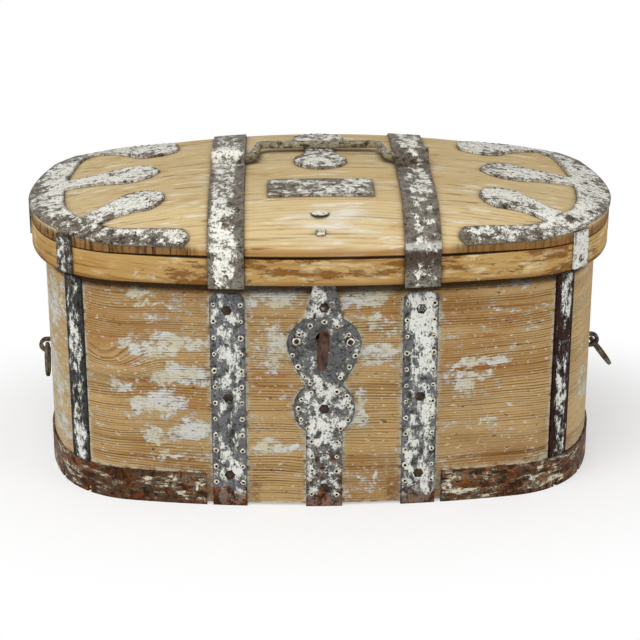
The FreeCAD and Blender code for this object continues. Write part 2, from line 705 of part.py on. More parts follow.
def bolt_spring():
    """Cranked leaf spring that bears on the top of the bolt, riveted to the back of the case."""
    low = BOLT_Z[1] + SPRING_CLEAR
    under = [V(x, 0, low + rise) for x, rise in SPRING_BOW]
    over = [point + V(0, 0, SPRING_THICKNESS) for point in under[::-1]]
    leaf = front_prism(polygon(under + over), *SPRING_Y)
    heel = under[0]
    foot_z = (heel.z - SPRING_FOOT / 2, heel.z + SPRING_FOOT / 2)
    foot = box((heel.x - 1, CASE_X[1] - CASE_SHEET), (SPRING_Y[0], CASE_Y[1] - CASE_SHEET), foot_z)
    return leaf.fuse(foot).removeSplitter()


def lid_hasp():
    """Bent strap under the lid whose staple takes the bolt."""
    flange = box(HASP_X, (HASP_FLANGE_Y, HASP_BLADE_Y[1]), (BOARD_BOTTOM - 3, BOARD_BOTTOM))
    blade = box(HASP_X, HASP_BLADE_Y, (HASP_FOOT_Z, BOARD_BOTTOM))
    corners = [e for e in blade.Edges if e.BoundBox.ZMax < HASP_FOOT_Z + 1 and e.BoundBox.XLength < 1]
    blade = blade.makeChamfer(HASP_CORNER, corners)
    loop = box(HASP_STAPLE_X, (HASP_STAPLE_Y, HASP_BLADE_Y[0]), HASP_STAPLE_Z)
    gap = box(
        (-FAR, FAR),
        (HASP_STAPLE_Y + HASP_WIRE, HASP_BLADE_Y[0]),
        (HASP_STAPLE_Z[0] + HASP_WIRE, HASP_STAPLE_Z[1] - HASP_WIRE),
    )
    return flange.fuse([blade, loop.cut(gap)]).removeSplitter()


def lid_square_nail():
    """Square-headed nail through the board above the lock."""
    x, y = SQUARE_NAIL
    top = crown_z(x, y)
    return box((x - 4, x + 4), (y - 4, y + 4), (top - 1.5, top + 2.5)).fuse(
        box((x - 1.8, x + 1.8), (y - 1.8, y + 1.8), (BOARD_BOTTOM + 2, top))
    )


def hasp_rivet():
    """Round-headed rivet that holds the hasp under the board."""
    x = (HASP_X[0] + HASP_X[1]) / 2
    length = crown_z(x, HASP_RIVET_Y) - BOARD_BOTTOM + 4
    return nail((*RIVET_HEAD, length), V(x, HASP_RIVET_Y, crown_z(x, HASP_RIVET_Y)), UP, RIVET_FACETS)


def body_strap_nails():
    """Three nails up the front and three up the back of each strap."""
    nails = []
    for side in (-1, 1):
        facing = side_facing(side * STRAP_X)
        for z in STRAP_NAIL_Z:
            nails.append(wall_nail(STRAP_NAIL, facing, z))
            nails.append(wall_nail(STRAP_NAIL, -facing, z))
    return Part.makeCompound(nails)


def lock_plate_nails():
    """Nails down the lock plate."""
    return Part.makeCompound([wall_nail(STRAP_NAIL, side_facing(x), z) for x, z in LOCK_PLATE_NAILS])


def lock_case_nails():
    """Four nails that hold the lock case to the inside of the wall."""
    nails = []
    for x in (CASE_X[0] - CASE_FLANGE / 2, CASE_X[1] + CASE_FLANGE / 2):
        for z in (CASE_Z[0] + 2 * CASE_FLANGE, CASE_Z[1] - 2 * CASE_FLANGE):
            nails.append(nail(CASE_NAIL, V(x, CASE_Y[0] + CASE_SHEET, z), V(0, 1, 0)))
    return Part.makeCompound(nails)


band = base_band()
end_band = lid_end_band()
eye = end_eye()
left, right = LEFT_CORNER_FACING, RIGHT_CORNER_FACING
parts = {
    "body_wall": body_wall(),
    "bottom_board": bottom_board(),
    "body_strap_left": body_strap(-1),
    "body_strap_right": body_strap(1),
    "hinge_pins": Part.makeCompound([hinge_pin(-1), hinge_pin(1)]),
    "base_band_left": band,
    "base_band_right": mirrored(band),
    "corner_strap_front_left": on_wall(BODY_WRAP, 180 + left, CORNER_STRAP_HALF, CORNER_STRAP_Z),
    "corner_strap_back_left": on_wall(BODY_WRAP, 180 - left, CORNER_STRAP_HALF, CORNER_STRAP_Z),
    "corner_strap_front_right": on_wall(BODY_WRAP, -right, CORNER_STRAP_HALF, CORNER_STRAP_Z),
    "corner_strap_back_right": on_wall(BODY_WRAP, right, CORNER_STRAP_HALF, CORNER_STRAP_Z),
    "end_eyes": Part.makeCompound([eye, mirrored(eye)]),
    "end_ring_left": end_ring(0),
    "end_ring_right": mirrored(end_ring(RIGHT_RING_LIFT)),
    "lock_plate": lock_plate(),
    "lock_case": lock_case(),
    "lock_bolt": lock_bolt(),
    "bolt_guides": bolt_guides(),
    "bolt_spring": bolt_spring(),
    "key": key(),
    "lid_board": lid_board(),
    "lid_rim": lid_rim(),
    "lid_strap_left": lid_strap(-1),
    "lid_strap_right": lid_strap(1),
    "lid_end_band_left": end_band,
    "lid_end_band_right": mirrored(end_band),
    "lid_tab_front_left": on_wall(LID_WRAP, 180 + TAB_FACING, TAB_HALF, TAB_Z),
    "lid_tab_back_left": on_wall(LID_WRAP, 180 - TAB_FACING, TAB_HALF, TAB_Z),
    "lid_tab_end_left": on_wall(LID_WRAP, 180, TAB_HALF, TAB_Z),
    "lid_tab_front_right": on_wall(LID_WRAP, -TAB_FACING, TAB_HALF, TAB_Z),
    "lid_tab_back_right": on_wall(LID_WRAP, TAB_FACING, TAB_HALF, TAB_Z),
    "lid_tab_end_right": on_wall(LID_WRAP, 0, TAB_HALF, TAB_Z),
    "name_plate": name_plate(),
    "handle_rest": handle_rest(),
    "handle_staples": Part.makeCompound([handle_staple(-1), handle_staple(1)]),
    "lid_handle": lid_handle(),
    "lid_hasp": lid_hasp(),
    "hasp_rivet": hasp_rivet(),
    "lid_square_nail": lid_square_nail(),
    "body_strap_nails": body_strap_nails(),
    "lock_plate_nails": lock_plate_nails(),
    "lock_case_nails": lock_case_nails(),
}

os.makedirs("parts", exist_ok=True)
for name, shape in parts.items():
    shape.exportStep(f"parts/{name}.step")
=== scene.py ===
import bmesh
import bpy
import numpy as np
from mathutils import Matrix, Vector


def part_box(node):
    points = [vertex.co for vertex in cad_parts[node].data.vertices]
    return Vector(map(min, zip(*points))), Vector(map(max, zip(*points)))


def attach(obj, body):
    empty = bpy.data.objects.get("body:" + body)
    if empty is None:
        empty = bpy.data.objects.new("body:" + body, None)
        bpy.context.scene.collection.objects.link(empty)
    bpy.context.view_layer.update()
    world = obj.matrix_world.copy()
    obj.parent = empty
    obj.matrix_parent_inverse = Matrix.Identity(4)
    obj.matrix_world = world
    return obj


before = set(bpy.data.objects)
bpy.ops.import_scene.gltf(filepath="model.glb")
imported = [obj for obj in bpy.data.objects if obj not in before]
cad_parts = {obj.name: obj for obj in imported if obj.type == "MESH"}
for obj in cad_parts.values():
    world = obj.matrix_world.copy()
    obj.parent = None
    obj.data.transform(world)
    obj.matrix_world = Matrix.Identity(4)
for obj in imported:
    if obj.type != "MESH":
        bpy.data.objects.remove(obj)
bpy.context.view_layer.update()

# Body wall: one thin pine board, steamed and bent into an oval, so its grain runs level round the box.
# Its grey-white paint has worn away but for streaks and patches, thickest beside the irons and under the lid.


def rgb(red, green, blue):
    """Colour as seen on a screen, 0 to 255, turned into the linear values that shaders take."""
    share = np.array([red, green, blue]) / 255
    linear = np.where(share <= 0.04045, share / 12.92, ((share + 0.055) / 1.055) ** 2.4)
    return (*linear.tolist(), 1.0)


def feed(tree, socket, value):
    """Joins a socket to another, or sets its value."""
    if isinstance(value, bpy.types.NodeSocket):
        tree.links.new(value, socket)
    else:
        socket.default_value = value


def add(tree, kind, inputs, output=0, **settings):
    """Adds a shader node, feeds its inputs by name or number, and returns one of its outputs."""
    node = tree.nodes.new("ShaderNode" + kind)
    for name, value in settings.items():
        setattr(node, name, value)
    for name, value in inputs.items():
        feed(tree, node.inputs[name], value)
    return node.outputs[output]


def calc(tree, operation, *values):
    """One step of arithmetic."""
    return add(tree, "Math", dict(enumerate(values)), operation=operation)


def times(tree, first, second):
    """Product of two values."""
    return calc(tree, "MULTIPLY", first, second)


def less(tree, first, second):
    """The first value less the second."""
    return calc(tree, "SUBTRACT", first, second)


def raised(tree, value, factor, base):
    """A base raised by a value times a factor."""
    return calc(tree, "MULTIPLY_ADD", value, factor, base)


def unsigned(tree, value):
    """A value without its sign."""
    return calc(tree, "ABSOLUTE", value)


def step(tree, value, low, high):
    """Smooth step from 0 below low to 1 above high."""
    inputs = {"Value": value, "From Min": low, "From Max": high}
    return add(tree, "MapRange", inputs, interpolation_type="SMOOTHSTEP")


def fall(tree, value, low, high):
    """Smooth step from 1 below low to 0 above high."""
    return less(tree, 1.0, step(tree, value, low, high))


def near(tree, value, centre, reach):
    """1 where a value is close to the centre, falling smoothly to 0 at the reach on either side."""
    away = unsigned(tree, less(tree, value, centre))
    return fall(tree, away, 0.35 * reach, reach)


def noise(tree, vector, scale, detail=5.0, roughness=0.6):
    """Cloudy noise between 0 and 1, scale in cells a metre."""
    return add(tree, "TexNoise", {"Vector": vector, "Scale": scale, "Detail": detail, "Roughness": roughness})


def drawn(tree, vector, factors):
    """Position multiplied by a factor on each axis, so that noise on it is drawn out along the smallest."""
    return add(tree, "VectorMath", {0: vector, 1: factors}, operation="MULTIPLY")


def drawn_noise(tree, place, cells, detail, roughness=0.6):
    """Noise with its own number of cells a metre along each axis."""
    return noise(tree, drawn(tree, place, cells), 1.0, detail, roughness)


def roughen(tree, value, cloud, amount):
    """A value moved up and down by noise, by the amount from its lowest to its highest."""
    return raised(tree, less(tree, cloud, 0.5), amount, value)


def mix(tree, factor, first, second):
    """Blend of two colours."""
    return add(tree, "Mix", {0: factor, 6: first, 7: second}, output=2, data_type="RGBA")


def wash(tree, colour, mask, strength, tone):
    """A tone laid over a colour through a mask, with a strength up to 1."""
    return mix(tree, times(tree, mask, strength), colour, tone)


def weather(tree, colour, place, tone, strength, cells, edges, detail, roughness=0.6, where=1.0):
    """A tone washed over a colour where drawn-out noise passes from the lower of two edges to the upper."""
    cloud = drawn_noise(tree, place, cells, detail, roughness)
    mask = times(tree, step(tree, cloud, *edges), where)
    return wash(tree, colour, mask, strength, tone)


def away_from(tree, place, centre, halves):
    """Distance from a point, measured in half sizes along each axis."""
    offset = add(tree, "VectorMath", {0: place, 1: centre}, operation="SUBTRACT")
    share = add(tree, "VectorMath", {0: offset, 1: halves}, operation="DIVIDE")
    return add(tree, "VectorMath", {0: share}, output=1, operation="LENGTH")


def patches(tree, place, spots, front_y, depth):
    """Union of soft ellipses, each with its x, z and half sizes: 1 in their middles, 0 past their edges."""
    whole = 0.0
    for spot_x, spot_z, half_x, half_z in spots:
        reach = away_from(tree, place, (spot_x, front_y, spot_z), (half_x, depth, half_z))
        whole = calc(tree, "MAXIMUM", whole, fall(tree, reach, 0.45, 1.25))
    return whole


def new_material(name):
    """Material with its tree, its shader and the object's own coordinates: whole, x, y and z."""
    material = bpy.data.materials.new(name)
    material.use_nodes = True
    tree = material.node_tree
    place = add(tree, "TexCoord", {}, output=3)
    axes = tree.nodes.new("ShaderNodeSeparateXYZ")
    tree.links.new(place, axes.inputs[0])
    return material, tree, tree.nodes["Principled BSDF"], place, axes.outputs


def finish_material(tree, shader, colour, height, roughness, depth, shine=0.05):
    """Joins colour, roughness and a bump of a real depth to the shader; old surfaces have little shine."""
    feed(tree, shader.inputs["Specular IOR Level"], shine)
    feed(tree, shader.inputs["Base Color"], colour)
    feed(tree, shader.inputs["Roughness"], roughness)
    feed(tree, shader.inputs["Normal"], add(tree, "Bump", {"Height": height, "Distance": depth}))


def pine(tree, rings, fibres, pitch, early, late):
    """Grain: rings that darken slowly and end sharply, each with its own strength, and fibres along it.

    Returns the colour, the height and the dark late wood alone.
    """
    count = calc(tree, "DIVIDE", rings, pitch)
    turn = calc(tree, "FRACT", count)
    line = less(tree, step(tree, turn, 0.38, 0.84), step(tree, turn, 0.88, 1.0))
    each = add(tree, "TexWhiteNoise", {"W": calc(tree, "FLOOR", count)}, noise_dimensions="1D")
    broken = step(tree, noise(tree, fibres, 0.5, detail=3.0), 0.25, 0.7)
    strength = times(tree, raised(tree, each, 0.55, 0.45), broken)
    line = times(tree, line, strength)
    fibre = noise(tree, fibres, 6.0, detail=8.0, roughness=0.72)
    shade = roughen(tree, line, fibre, 0.9)
    colour = mix(tree, calc(tree, "MAXIMUM", 0.0, shade), early, late)
    return colour, raised(tree, fibre, 0.6, line), line


def crevice(tree, reach, samples=6):
    """1 in the corners where something stands against the surface, 0 a little way off."""
    open_sky = add(tree, "AmbientOcclusion", {"Distance": reach}, output=1, samples=samples)
    return fall(tree, open_sky, 0.45, 0.95)


def outside(tree, place):
    """1 on faces turned away from the middle of the box, 0 on those turned in towards it."""
    facing = add(tree, "TexCoord", {}, output=1)
    turn = add(tree, "VectorMath", {0: facing, 1: place}, output=1, operation="DOT_PRODUCT")
    return calc(tree, "GREATER_THAN", turn, 0.0)


def dress(material, *nodes):
    """Gives CAD nodes a finished material."""
    for node in nodes:
        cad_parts[node].material_slots[0].material = material


WALL_FRONT_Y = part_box("body_wall")[0][1]
WALL_EARLY, WALL_LATE = rgb(183, 153, 105), rgb(60, 30, 6)
WALL_RING_PITCH = 0.0027
WALL_WANDER, KNOT_BULGE = 0.030, 0.016
KNOT_PLACE, KNOT_HALVES = (-0.216, WALL_FRONT_Y + 0.02, 0.150), (0.060, 0.10, 0.030)
CLOUD_TONE, AGED_TONE, STREAK_TONE = rgb(147, 104, 55), rgb(122, 104, 74), rgb(104, 62, 24)
PATCH_DEPTH = 0.09
AMBER_TONE, AMBER_LIFT = rgb(146, 88, 38), 0.24
AMBER_STREAKS = (
    (-0.205, 0.150, 0.034, 0.009), (-0.170, 0.131, 0.058, 0.003),
    (-0.052, 0.143, 0.024, 0.007), (-0.050, 0.131, 0.030, 0.004),
    (0.160, 0.144, 0.045, 0.004), (0.150, 0.178, 0.040, 0.005),
)

wall_wood, tree, shader, place, (x, y, z) = new_material("body_pine")
wander = drawn_noise(tree, place, (3.4, 3.4, 9), detail=2)
knot = fall(tree, away_from(tree, place, KNOT_PLACE, KNOT_HALVES), 0.0, 1.0)
rings = raised(tree, knot, KNOT_BULGE, raised(tree, wander, WALL_WANDER, z))
fibres = drawn(tree, place, (9, 9, 260))
colour, height, line = pine(tree, rings, fibres, WALL_RING_PITCH, WALL_EARLY, WALL_LATE)
colour = wash(tree, colour, line, 0.60, WALL_LATE)
colour = weather(tree, colour, place, CLOUD_TONE, 0.72, cells=(5, 5, 16), edges=(0.38, 0.66), detail=4)
colour = weather(tree, colour, place, AGED_TONE, 0.40, cells=(6, 6, 9), edges=(0.50, 0.72), detail=5)
colour = weather(tree, colour, place, STREAK_TONE, 0.70, cells=(4, 4, 120), edges=(0.56, 0.70), detail=4)
amber = patches(tree, place, AMBER_STREAKS, WALL_FRONT_Y, PATCH_DEPTH)
ragged = drawn_noise(tree, place, (22, 22, 140), detail=6)
streaked = step(tree, raised(tree, amber, AMBER_LIFT, ragged), 0.64, 0.78)
colour = wash(tree, colour, streaked, 0.60, AMBER_TONE)

# The paint lies on the outer face only: a thin film, and chalky flakes where it is thick.
# A patch's outline is torn by shifting the place that it is measured from.

COLD_PAINT, WARM_PAINT, DAB_PAINT = rgb(197, 199, 195), rgb(192, 187, 162), rgb(204, 202, 190)
END_TONE, PIT_TONE = rgb(216, 194, 150), rgb(58, 44, 30)
END_X, END_FULL_X = 0.235, 0.270
TORN_BY = (0.075, 0.075, 0.045)
BLOT_SHARE, FLAKE_SHARE, DRIFT = 0.36, 0.64, 0.30
PATCH_LIFT, LATE_WOOD_LOSS = 0.15, -0.12
FILM_STRENGTH, CHALKY_STRENGTH = 0.50, 0.92
PAINT_PATCHES = (
    (-0.162, 0.170, 0.044, 0.020), (-0.146, 0.142, 0.034, 0.014),
    (-0.162, 0.109, 0.028, 0.012), (-0.202, 0.124, 0.010, 0.010),
    (-0.132, 0.080, 0.022, 0.015), (-0.166, 0.070, 0.012, 0.013),
    (-0.163, 0.052, 0.018, 0.005), (-0.168, 0.213, 0.020, 0.004),
    (-0.182, 0.226, 0.010, 0.004), (-0.051, 0.171, 0.024, 0.028),
    (-0.050, 0.226, 0.036, 0.015), (-0.040, 0.035, 0.018, 0.007),
    (-0.047, 0.064, 0.026, 0.008), (-0.037, 0.124, 0.012, 0.012),
    (0.046, 0.226, 0.036, 0.014), (0.063, 0.195, 0.013, 0.016),
    (0.056, 0.165, 0.022, 0.015), (0.032, 0.108, 0.007, 0.026),
    (0.152, 0.147, 0.030, 0.006), (0.150, 0.130, 0.024, 0.007),
    (0.160, 0.089, 0.011, 0.004), (0.186, 0.233, 0.028, 0.006),
    (0.057, 0.028, 0.006, 0.005),
)
END_PATCHES = (
    (-0.274, 0.195, 0.024, 0.040), (-0.276, 0.116, 0.024, 0.044),
    (-0.270, 0.062, 0.020, 0.022), (0.274, 0.095, 0.016, 0.026),
)
END_PATCH_Y, END_PATCH_DEPTH, END_PATCH_STRENGTH = -0.07, 0.08, 0.85

outer = outside(tree, place)
ends = step(tree, unsigned(tree, x), END_X, END_FULL_X)
colour = wash(tree, colour, times(tree, ends, outer), 0.30, END_TONE)
shift = add(tree, "TexNoise", {"Vector": place, "Scale": 46.0, "Detail": 5.0, "Roughness": 0.62}, output=1)
shift = add(tree, "VectorMath", {0: shift, 1: (0.5, 0.5, 0.5)}, operation="SUBTRACT")
torn = add(tree, "VectorMath", {0: shift, 1: TORN_BY, 2: place}, operation="MULTIPLY_ADD")
thick = patches(tree, torn, PAINT_PATCHES, WALL_FRONT_Y, PATCH_DEPTH)
on_ends = patches(tree, torn, END_PATCHES, END_PATCH_Y, END_PATCH_DEPTH)
thick = calc(tree, "MAXIMUM", thick, times(tree, on_ends, END_PATCH_STRENGTH))
blot = drawn_noise(tree, place, (36, 36, 56), detail=3)
flake = drawn_noise(tree, place, (120, 120, 210), detail=8, roughness=0.72)
drift = drawn_noise(tree, place, (11, 11, 17), detail=3)
field = raised(tree, blot, BLOT_SHARE, times(tree, flake, FLAKE_SHARE))
field = roughen(tree, field, drift, DRIFT)
field = raised(tree, thick, PATCH_LIFT, field)
field = raised(tree, line, LATE_WOOD_LOSS, field)
film = times(tree, step(tree, field, 0.52, 0.62), FILM_STRENGTH)
crazed = step(tree, drawn_noise(tree, place, (210, 210, 330), detail=5), 0.35, 0.44)
chalky = times(tree, step(tree, field, 0.580, 0.600), crazed)
paint = calc(tree, "MAXIMUM", film, times(tree, chalky, CHALKY_STRENGTH))
paint = times(tree, paint, outer)
tint = drawn_noise(tree, place, (26, 26, 40), detail=3)
paint_tone = mix(tree, step(tree, tint, 0.40, 0.62), COLD_PAINT, WARM_PAINT)
colour = mix(tree, paint, colour, paint_tone)
colour = weather(
    tree, colour, place, DAB_PAINT, 0.7, cells=(150, 150, 300), edges=(0.635, 0.662), detail=4, where=outer
)
colour = weather(tree, colour, place, PIT_TONE, 0.75, cells=(143, 143, 338), edges=(0.64, 0.69), detail=4)

# Dirt has gathered against the irons, paint lies along their edges and the corners there have painted shade;
# rust has stained the wood at the straps' feet, and the wall is dark in the painted shadow of the closed lid.

STRAP_X = float(np.mean(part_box("body_strap_right"), axis=0)[0])
STRAP_HALF = 0.0173
RIM_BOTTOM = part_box("lid_rim")[0][2]
DIRT_AND_SHADE_TONE, EDGE_PAINT, CREVICE_REACH = rgb(44, 26, 10), rgb(212, 206, 182), 0.007
FOOT_TONE, FOOT_STAIN_WIDE, FOOT_STAIN_HIGH = rgb(76, 42, 16), 0.026, 0.056
SHADE_TONE, SHADE_REACH, SHADE_RAGGED = rgb(34, 19, 6), 0.025, 0.012
SHADE_LOW_Z = (RIM_BOTTOM - 0.011, RIM_BOTTOM - 0.004)
SHADE_HIGH_Z = (RIM_BOTTOM - 0.002, RIM_BOTTOM + 0.005)

# Dirt and painted shade darken the wood in the corners against the irons.
corner = crevice(tree, CREVICE_REACH)
colour = wash(tree, colour, corner, 0.62, DIRT_AND_SHADE_TONE)
outline = times(tree, step(tree, corner, 0.06, 0.24), outer)
outline = times(tree, outline, step(tree, flake, 0.42, 0.52))
colour = wash(tree, colour, outline, 0.88, EDGE_PAINT)
beside = unsigned(tree, less(tree, unsigned(tree, x), STRAP_X))
at_strap = near(tree, beside, STRAP_HALF, FOOT_STAIN_WIDE)
foot_stain = times(tree, at_strap, near(tree, z, 0.0, FOOT_STAIN_HIGH))
foot_stain = roughen(tree, foot_stain, field, 2.6)
colour = wash(tree, colour, step(tree, foot_stain, 0.60, 1.30), 0.85, FOOT_TONE)
under_lid = step(tree, raised(tree, flake, SHADE_RAGGED, z), *SHADE_LOW_Z)
under_lid = less(tree, under_lid, step(tree, z, *SHADE_HIGH_Z))
shaded = step(tree, crevice(tree, SHADE_REACH, samples=16), 0.003, 0.04)
under_lid = times(tree, times(tree, under_lid, outer), shaded)
colour = wash(tree, colour, under_lid, 0.92, SHADE_TONE)
height = raised(tree, paint, 0.7, height)
finish_material(tree, shader, colour, height, roughness=0.75, depth=0.0006)
dress(wall_wood, "body_wall")

# Bottom board: plain sawn pine, let into the foot of the wall and left bare, so it is greyer and rougher.
# Its grain runs along the box.

BOTTOM_EARLY, BOTTOM_LATE = rgb(158, 136, 102), rgb(88, 60, 34)
BOTTOM_RING_PITCH, BOTTOM_WANDER = 0.006, 0.05
DAMP_TONE = rgb(92, 78, 60)

bottom_wood, tree, shader, place, (x, y, z) = new_material("bottom_pine")
wander = drawn_noise(tree, place, (3, 9, 9), detail=3)
rings = raised(tree, wander, BOTTOM_WANDER, y)
fibres = drawn(tree, place, (9, 220, 220))
colour, height, line = pine(tree, rings, fibres, BOTTOM_RING_PITCH, BOTTOM_EARLY, BOTTOM_LATE)
colour = weather(tree, colour, place, DAMP_TONE, 0.5, cells=(9, 9, 9), edges=(0.5, 0.7), detail=5)
finish_material(tree, shader, colour, height, roughness=0.85, depth=0.0006)
dress(bottom_wood, "bottom_board")

# Body straps: flat bars forged to about 2.5 mm, bent up the front and the back and held by large nails.
# White paint is left along their middles; their edges are rubbed bare and their feet have rusted.

CHALK, OLD_CHALK = rgb(213, 214, 207), rgb(184, 179, 162)
BLUE_IRON, DARK_IRON = rgb(102, 104, 106), rgb(56, 54, 50)
# Tones for a painted highlight and for a dark brown that is partly stain and partly painted shade.
HIGHLIGHT_IRON, STAIN_AND_SHADE_IRON, PIT_IRON = rgb(196, 194, 188), rgb(58, 42, 33), rgb(34, 24, 13)
DARK_RUST, ORANGE_RUST = rgb(48, 27, 13), rgb(130, 73, 31)
RUST_FOOT_Z = (-0.012, 0.050)


def bare_edge(tree, reach):
    """1 along the piece's own edges, where the paint is rubbed off first, falling to 0 at the reach."""
    rounded = add(tree, "Bevel", {"Radius": reach}, samples=6)
    flat = add(tree, "NewGeometry", {}, output=3)
    facing = add(tree, "VectorMath", {0: rounded, 1: flat}, output=1, operation="DOT_PRODUCT")
    return fall(tree, unsigned(tree, facing), 0.84, 0.99)


def share_at(rule, spot):
    """A share: one number for the whole piece, or a rule that takes the tree, the place, x, y and z."""
    return rule(*spot) if callable(rule) else rule


def forged(name, bare, deep, cover, pull=(1.0, 1.0, 1.0), rust=None, chalk=CHALK, rub=0.005,
           highlight=None, stained_and_shaded=None):
    """Forged iron under flaking paint, mottled from the bare tone to the deep one.

    Cover and rust are the shares from 0 to 1 that are still painted and that are rusted, highlight the share
    given a painted highlight, stained_and_shaded the share darkened brown, partly by stain and partly as
    painted shade. Pull squeezes the flakes along each axis, so that they are drawn out along the others, and
    rub is how far from an edge the paint is worn off.
    """
    material, tree, shader, place, (x, y, z) = new_material(name)
    spot = (tree, place, x, y, z)
    mottle = noise(tree, place, 130.0, detail=6.0, roughness=0.65)
    speck = noise(tree, place, 700.0, detail=2.0)
    colour = mix(tree, step(tree, mottle, 0.36, 0.57), deep, bare)
    colour = wash(tree, colour, step(tree, speck, 0.50, 0.68), 0.35, deep)
    # Painted highlight, then a brown that is partly stain and partly painted shade.
    if highlight:
        colour = wash(tree, colour, share_at(highlight, spot), 0.85, HIGHLIGHT_IRON)
    if stained_and_shaded:
        colour = wash(tree, colour, share_at(stained_and_shaded, spot), 0.80, STAIN_AND_SHADE_IRON)
    broad = noise(tree, drawn(tree, place, pull), 26.0, detail=2.0)
    flake = noise(tree, drawn(tree, place, pull), 115.0, detail=9.0, roughness=0.76)
    field = roughen(tree, roughen(tree, 0.5, flake, 1.4), broad, 0.50)
    threshold = raised(tree, share_at(cover, spot), -0.5, 0.75)
    threshold = raised(tree, bare_edge(tree, rub), 0.18, threshold)
    over = less(tree, field, threshold)
    thick = step(tree, over, -0.006, 0.008)
    worn = times(tree, step(tree, over, -0.09, 0.0), 0.20)
    if rust:
        eaten = noise(tree, place, 85.0, detail=7.0, roughness=0.7)
        rusty = step(tree, roughen(tree, share_at(rust, spot), eaten, 1.5), 0.40, 0.60)
        rust_tone = mix(tree, step(tree, mottle, 0.40, 0.72), DARK_RUST, ORANGE_RUST)
        colour = mix(tree, rusty, colour, rust_tone)
        kept = raised(tree, rusty, -0.85, 1.0)
        thick = times(tree, thick, kept)
        worn = times(tree, worn, kept)
    dusty = mix(tree, step(tree, mottle, 0.50, 0.72), chalk, OLD_CHALK)
    colour = mix(tree, calc(tree, "MAXIMUM", thick, worn), colour, dusty)
    pit = noise(tree, place, 380.0, detail=4.0, roughness=0.65)
    colour = wash(tree, colour, step(tree, pit, 0.572, 0.615), 0.88, PIT_IRON)
    rough = raised(tree, thick, 0.30, 0.50)
    hammer = noise(tree, place, 60.0, detail=3.0)
    height = raised(tree, thick, 0.40, raised(tree, mottle, 0.45, hammer))
    finish_material(tree, shader, colour, height, roughness=rough, depth=0.0011, shine=0.07)
    return material


def along_straps(tree, x, shift=0.0):
    """Distance from a line down the nearer strap, in half widths; the shift moves the line outwards."""
    beside = unsigned(tree, less(tree, unsigned(tree, x), STRAP_X + shift))
    return calc(tree, "DIVIDE", beside, STRAP_HALF)


def right_half(tree, x):
    """0 on the left half of the box, 1 on the right."""
    return step(tree, x, -0.01, 0.01)


def body_strap_cover(tree, place, x, y, z):
    """Thick on the right strap, half gone on the left one, and rubbed off near the edges."""
    middle = raised(tree, right_half(tree, x), 0.11, 0.455)
    return raised(tree, step(tree, along_straps(tree, x), 0.45, 0.95), -0.16, middle)


def strap_foot_rust(tree, place, x, y, z):
    """Rust in the lowest two centimetres or so."""
    return less(tree, 0.95, step(tree, z, *RUST_FOOT_Z))


strap_iron = forged(
    "strap_iron", BLUE_IRON, DARK_IRON, body_strap_cover, pull=(1.0, 1.0, 0.55), rust=strap_foot_rust
)
dress(strap_iron, "body_strap_left", "body_strap_right")

# Nails: rose-headed iron nails struck by hand, brown with rust in their facets.
# A little paint is left in the hollows. Hinge pins are the same iron.

nail_iron = forged("nail_iron", rgb(66, 54, 44), rgb(30, 22, 16), cover=0.16, rust=0.34, rub=0.001)
dress(nail_iron, "body_strap_nails", "hinge_pins", "lock_plate_nails")

# Paint collars: every small nail of the straps and the lock plate has sunk and left a hole,
# with a raised ring of old paint round it. The two large nails of the lock plate's heart have a wider ring.

COLLAR_PROFILE = np.array([
    (0.0, -0.0004, 0.0),
    (0.0030, -0.0004, 1.0),
    (0.0028, 0.0004, 1.0),
    (0.0022, 0.0009, 1.0),
    (0.0015, 0.0008, 1.0),
    (0.0012, 0.0004, 0.0),
    (0.0, 0.0003, 0.0),
])
TURNED_STEPS = 10
COLLAR_SIZES, LARGE_COLLAR = (0.75, 1.08), 1.9
STRAP_COLLAR_X = np.array([-0.0133, 0.0133])
STRAP_COLLAR_ROWS = np.linspace(0.217, 0.026, 12)
PLATE_COLLARS = np.array([
    (0.0, 0.200), (-0.0135, 0.196), (0.0125, 0.195), (-0.0244, 0.187), (0.0240, 0.186),
    (-0.0310, 0.165), (0.0305, 0.164), (-0.0255, 0.153), (0.0245, 0.152), (-0.0195, 0.142),
    (0.0160, 0.141), (-0.0138, 0.135), (0.0125, 0.126), (-0.0130, 0.125), (0.0225, 0.121),
    (-0.0225, 0.118), (0.0255, 0.108), (-0.0253, 0.108), (0.0235, 0.095), (-0.0230, 0.096),
    (0.0165, 0.086), (-0.0165, 0.086), (-0.0125, 0.072), (0.0128, 0.071), (-0.0125, 0.056),
    (0.0125, 0.055), (-0.0120, 0.040), (0.0125, 0.039), (-0.0125, 0.014), (0.0125, 0.013),
])
HEART_NAILS = np.array([(-0.027, 0.180), (0.0255, 0.1785)])
ENDS, FACES = ((-1, "left"), (1, "right")), ((-1, "front"), (1, "back"))
AWAY_Y = 0.4
RING_CLEAN, RING_GRIMY, HOLE_SHADE_TONE = rgb(226, 222, 206), rgb(150, 142, 122), rgb(30, 22, 16)


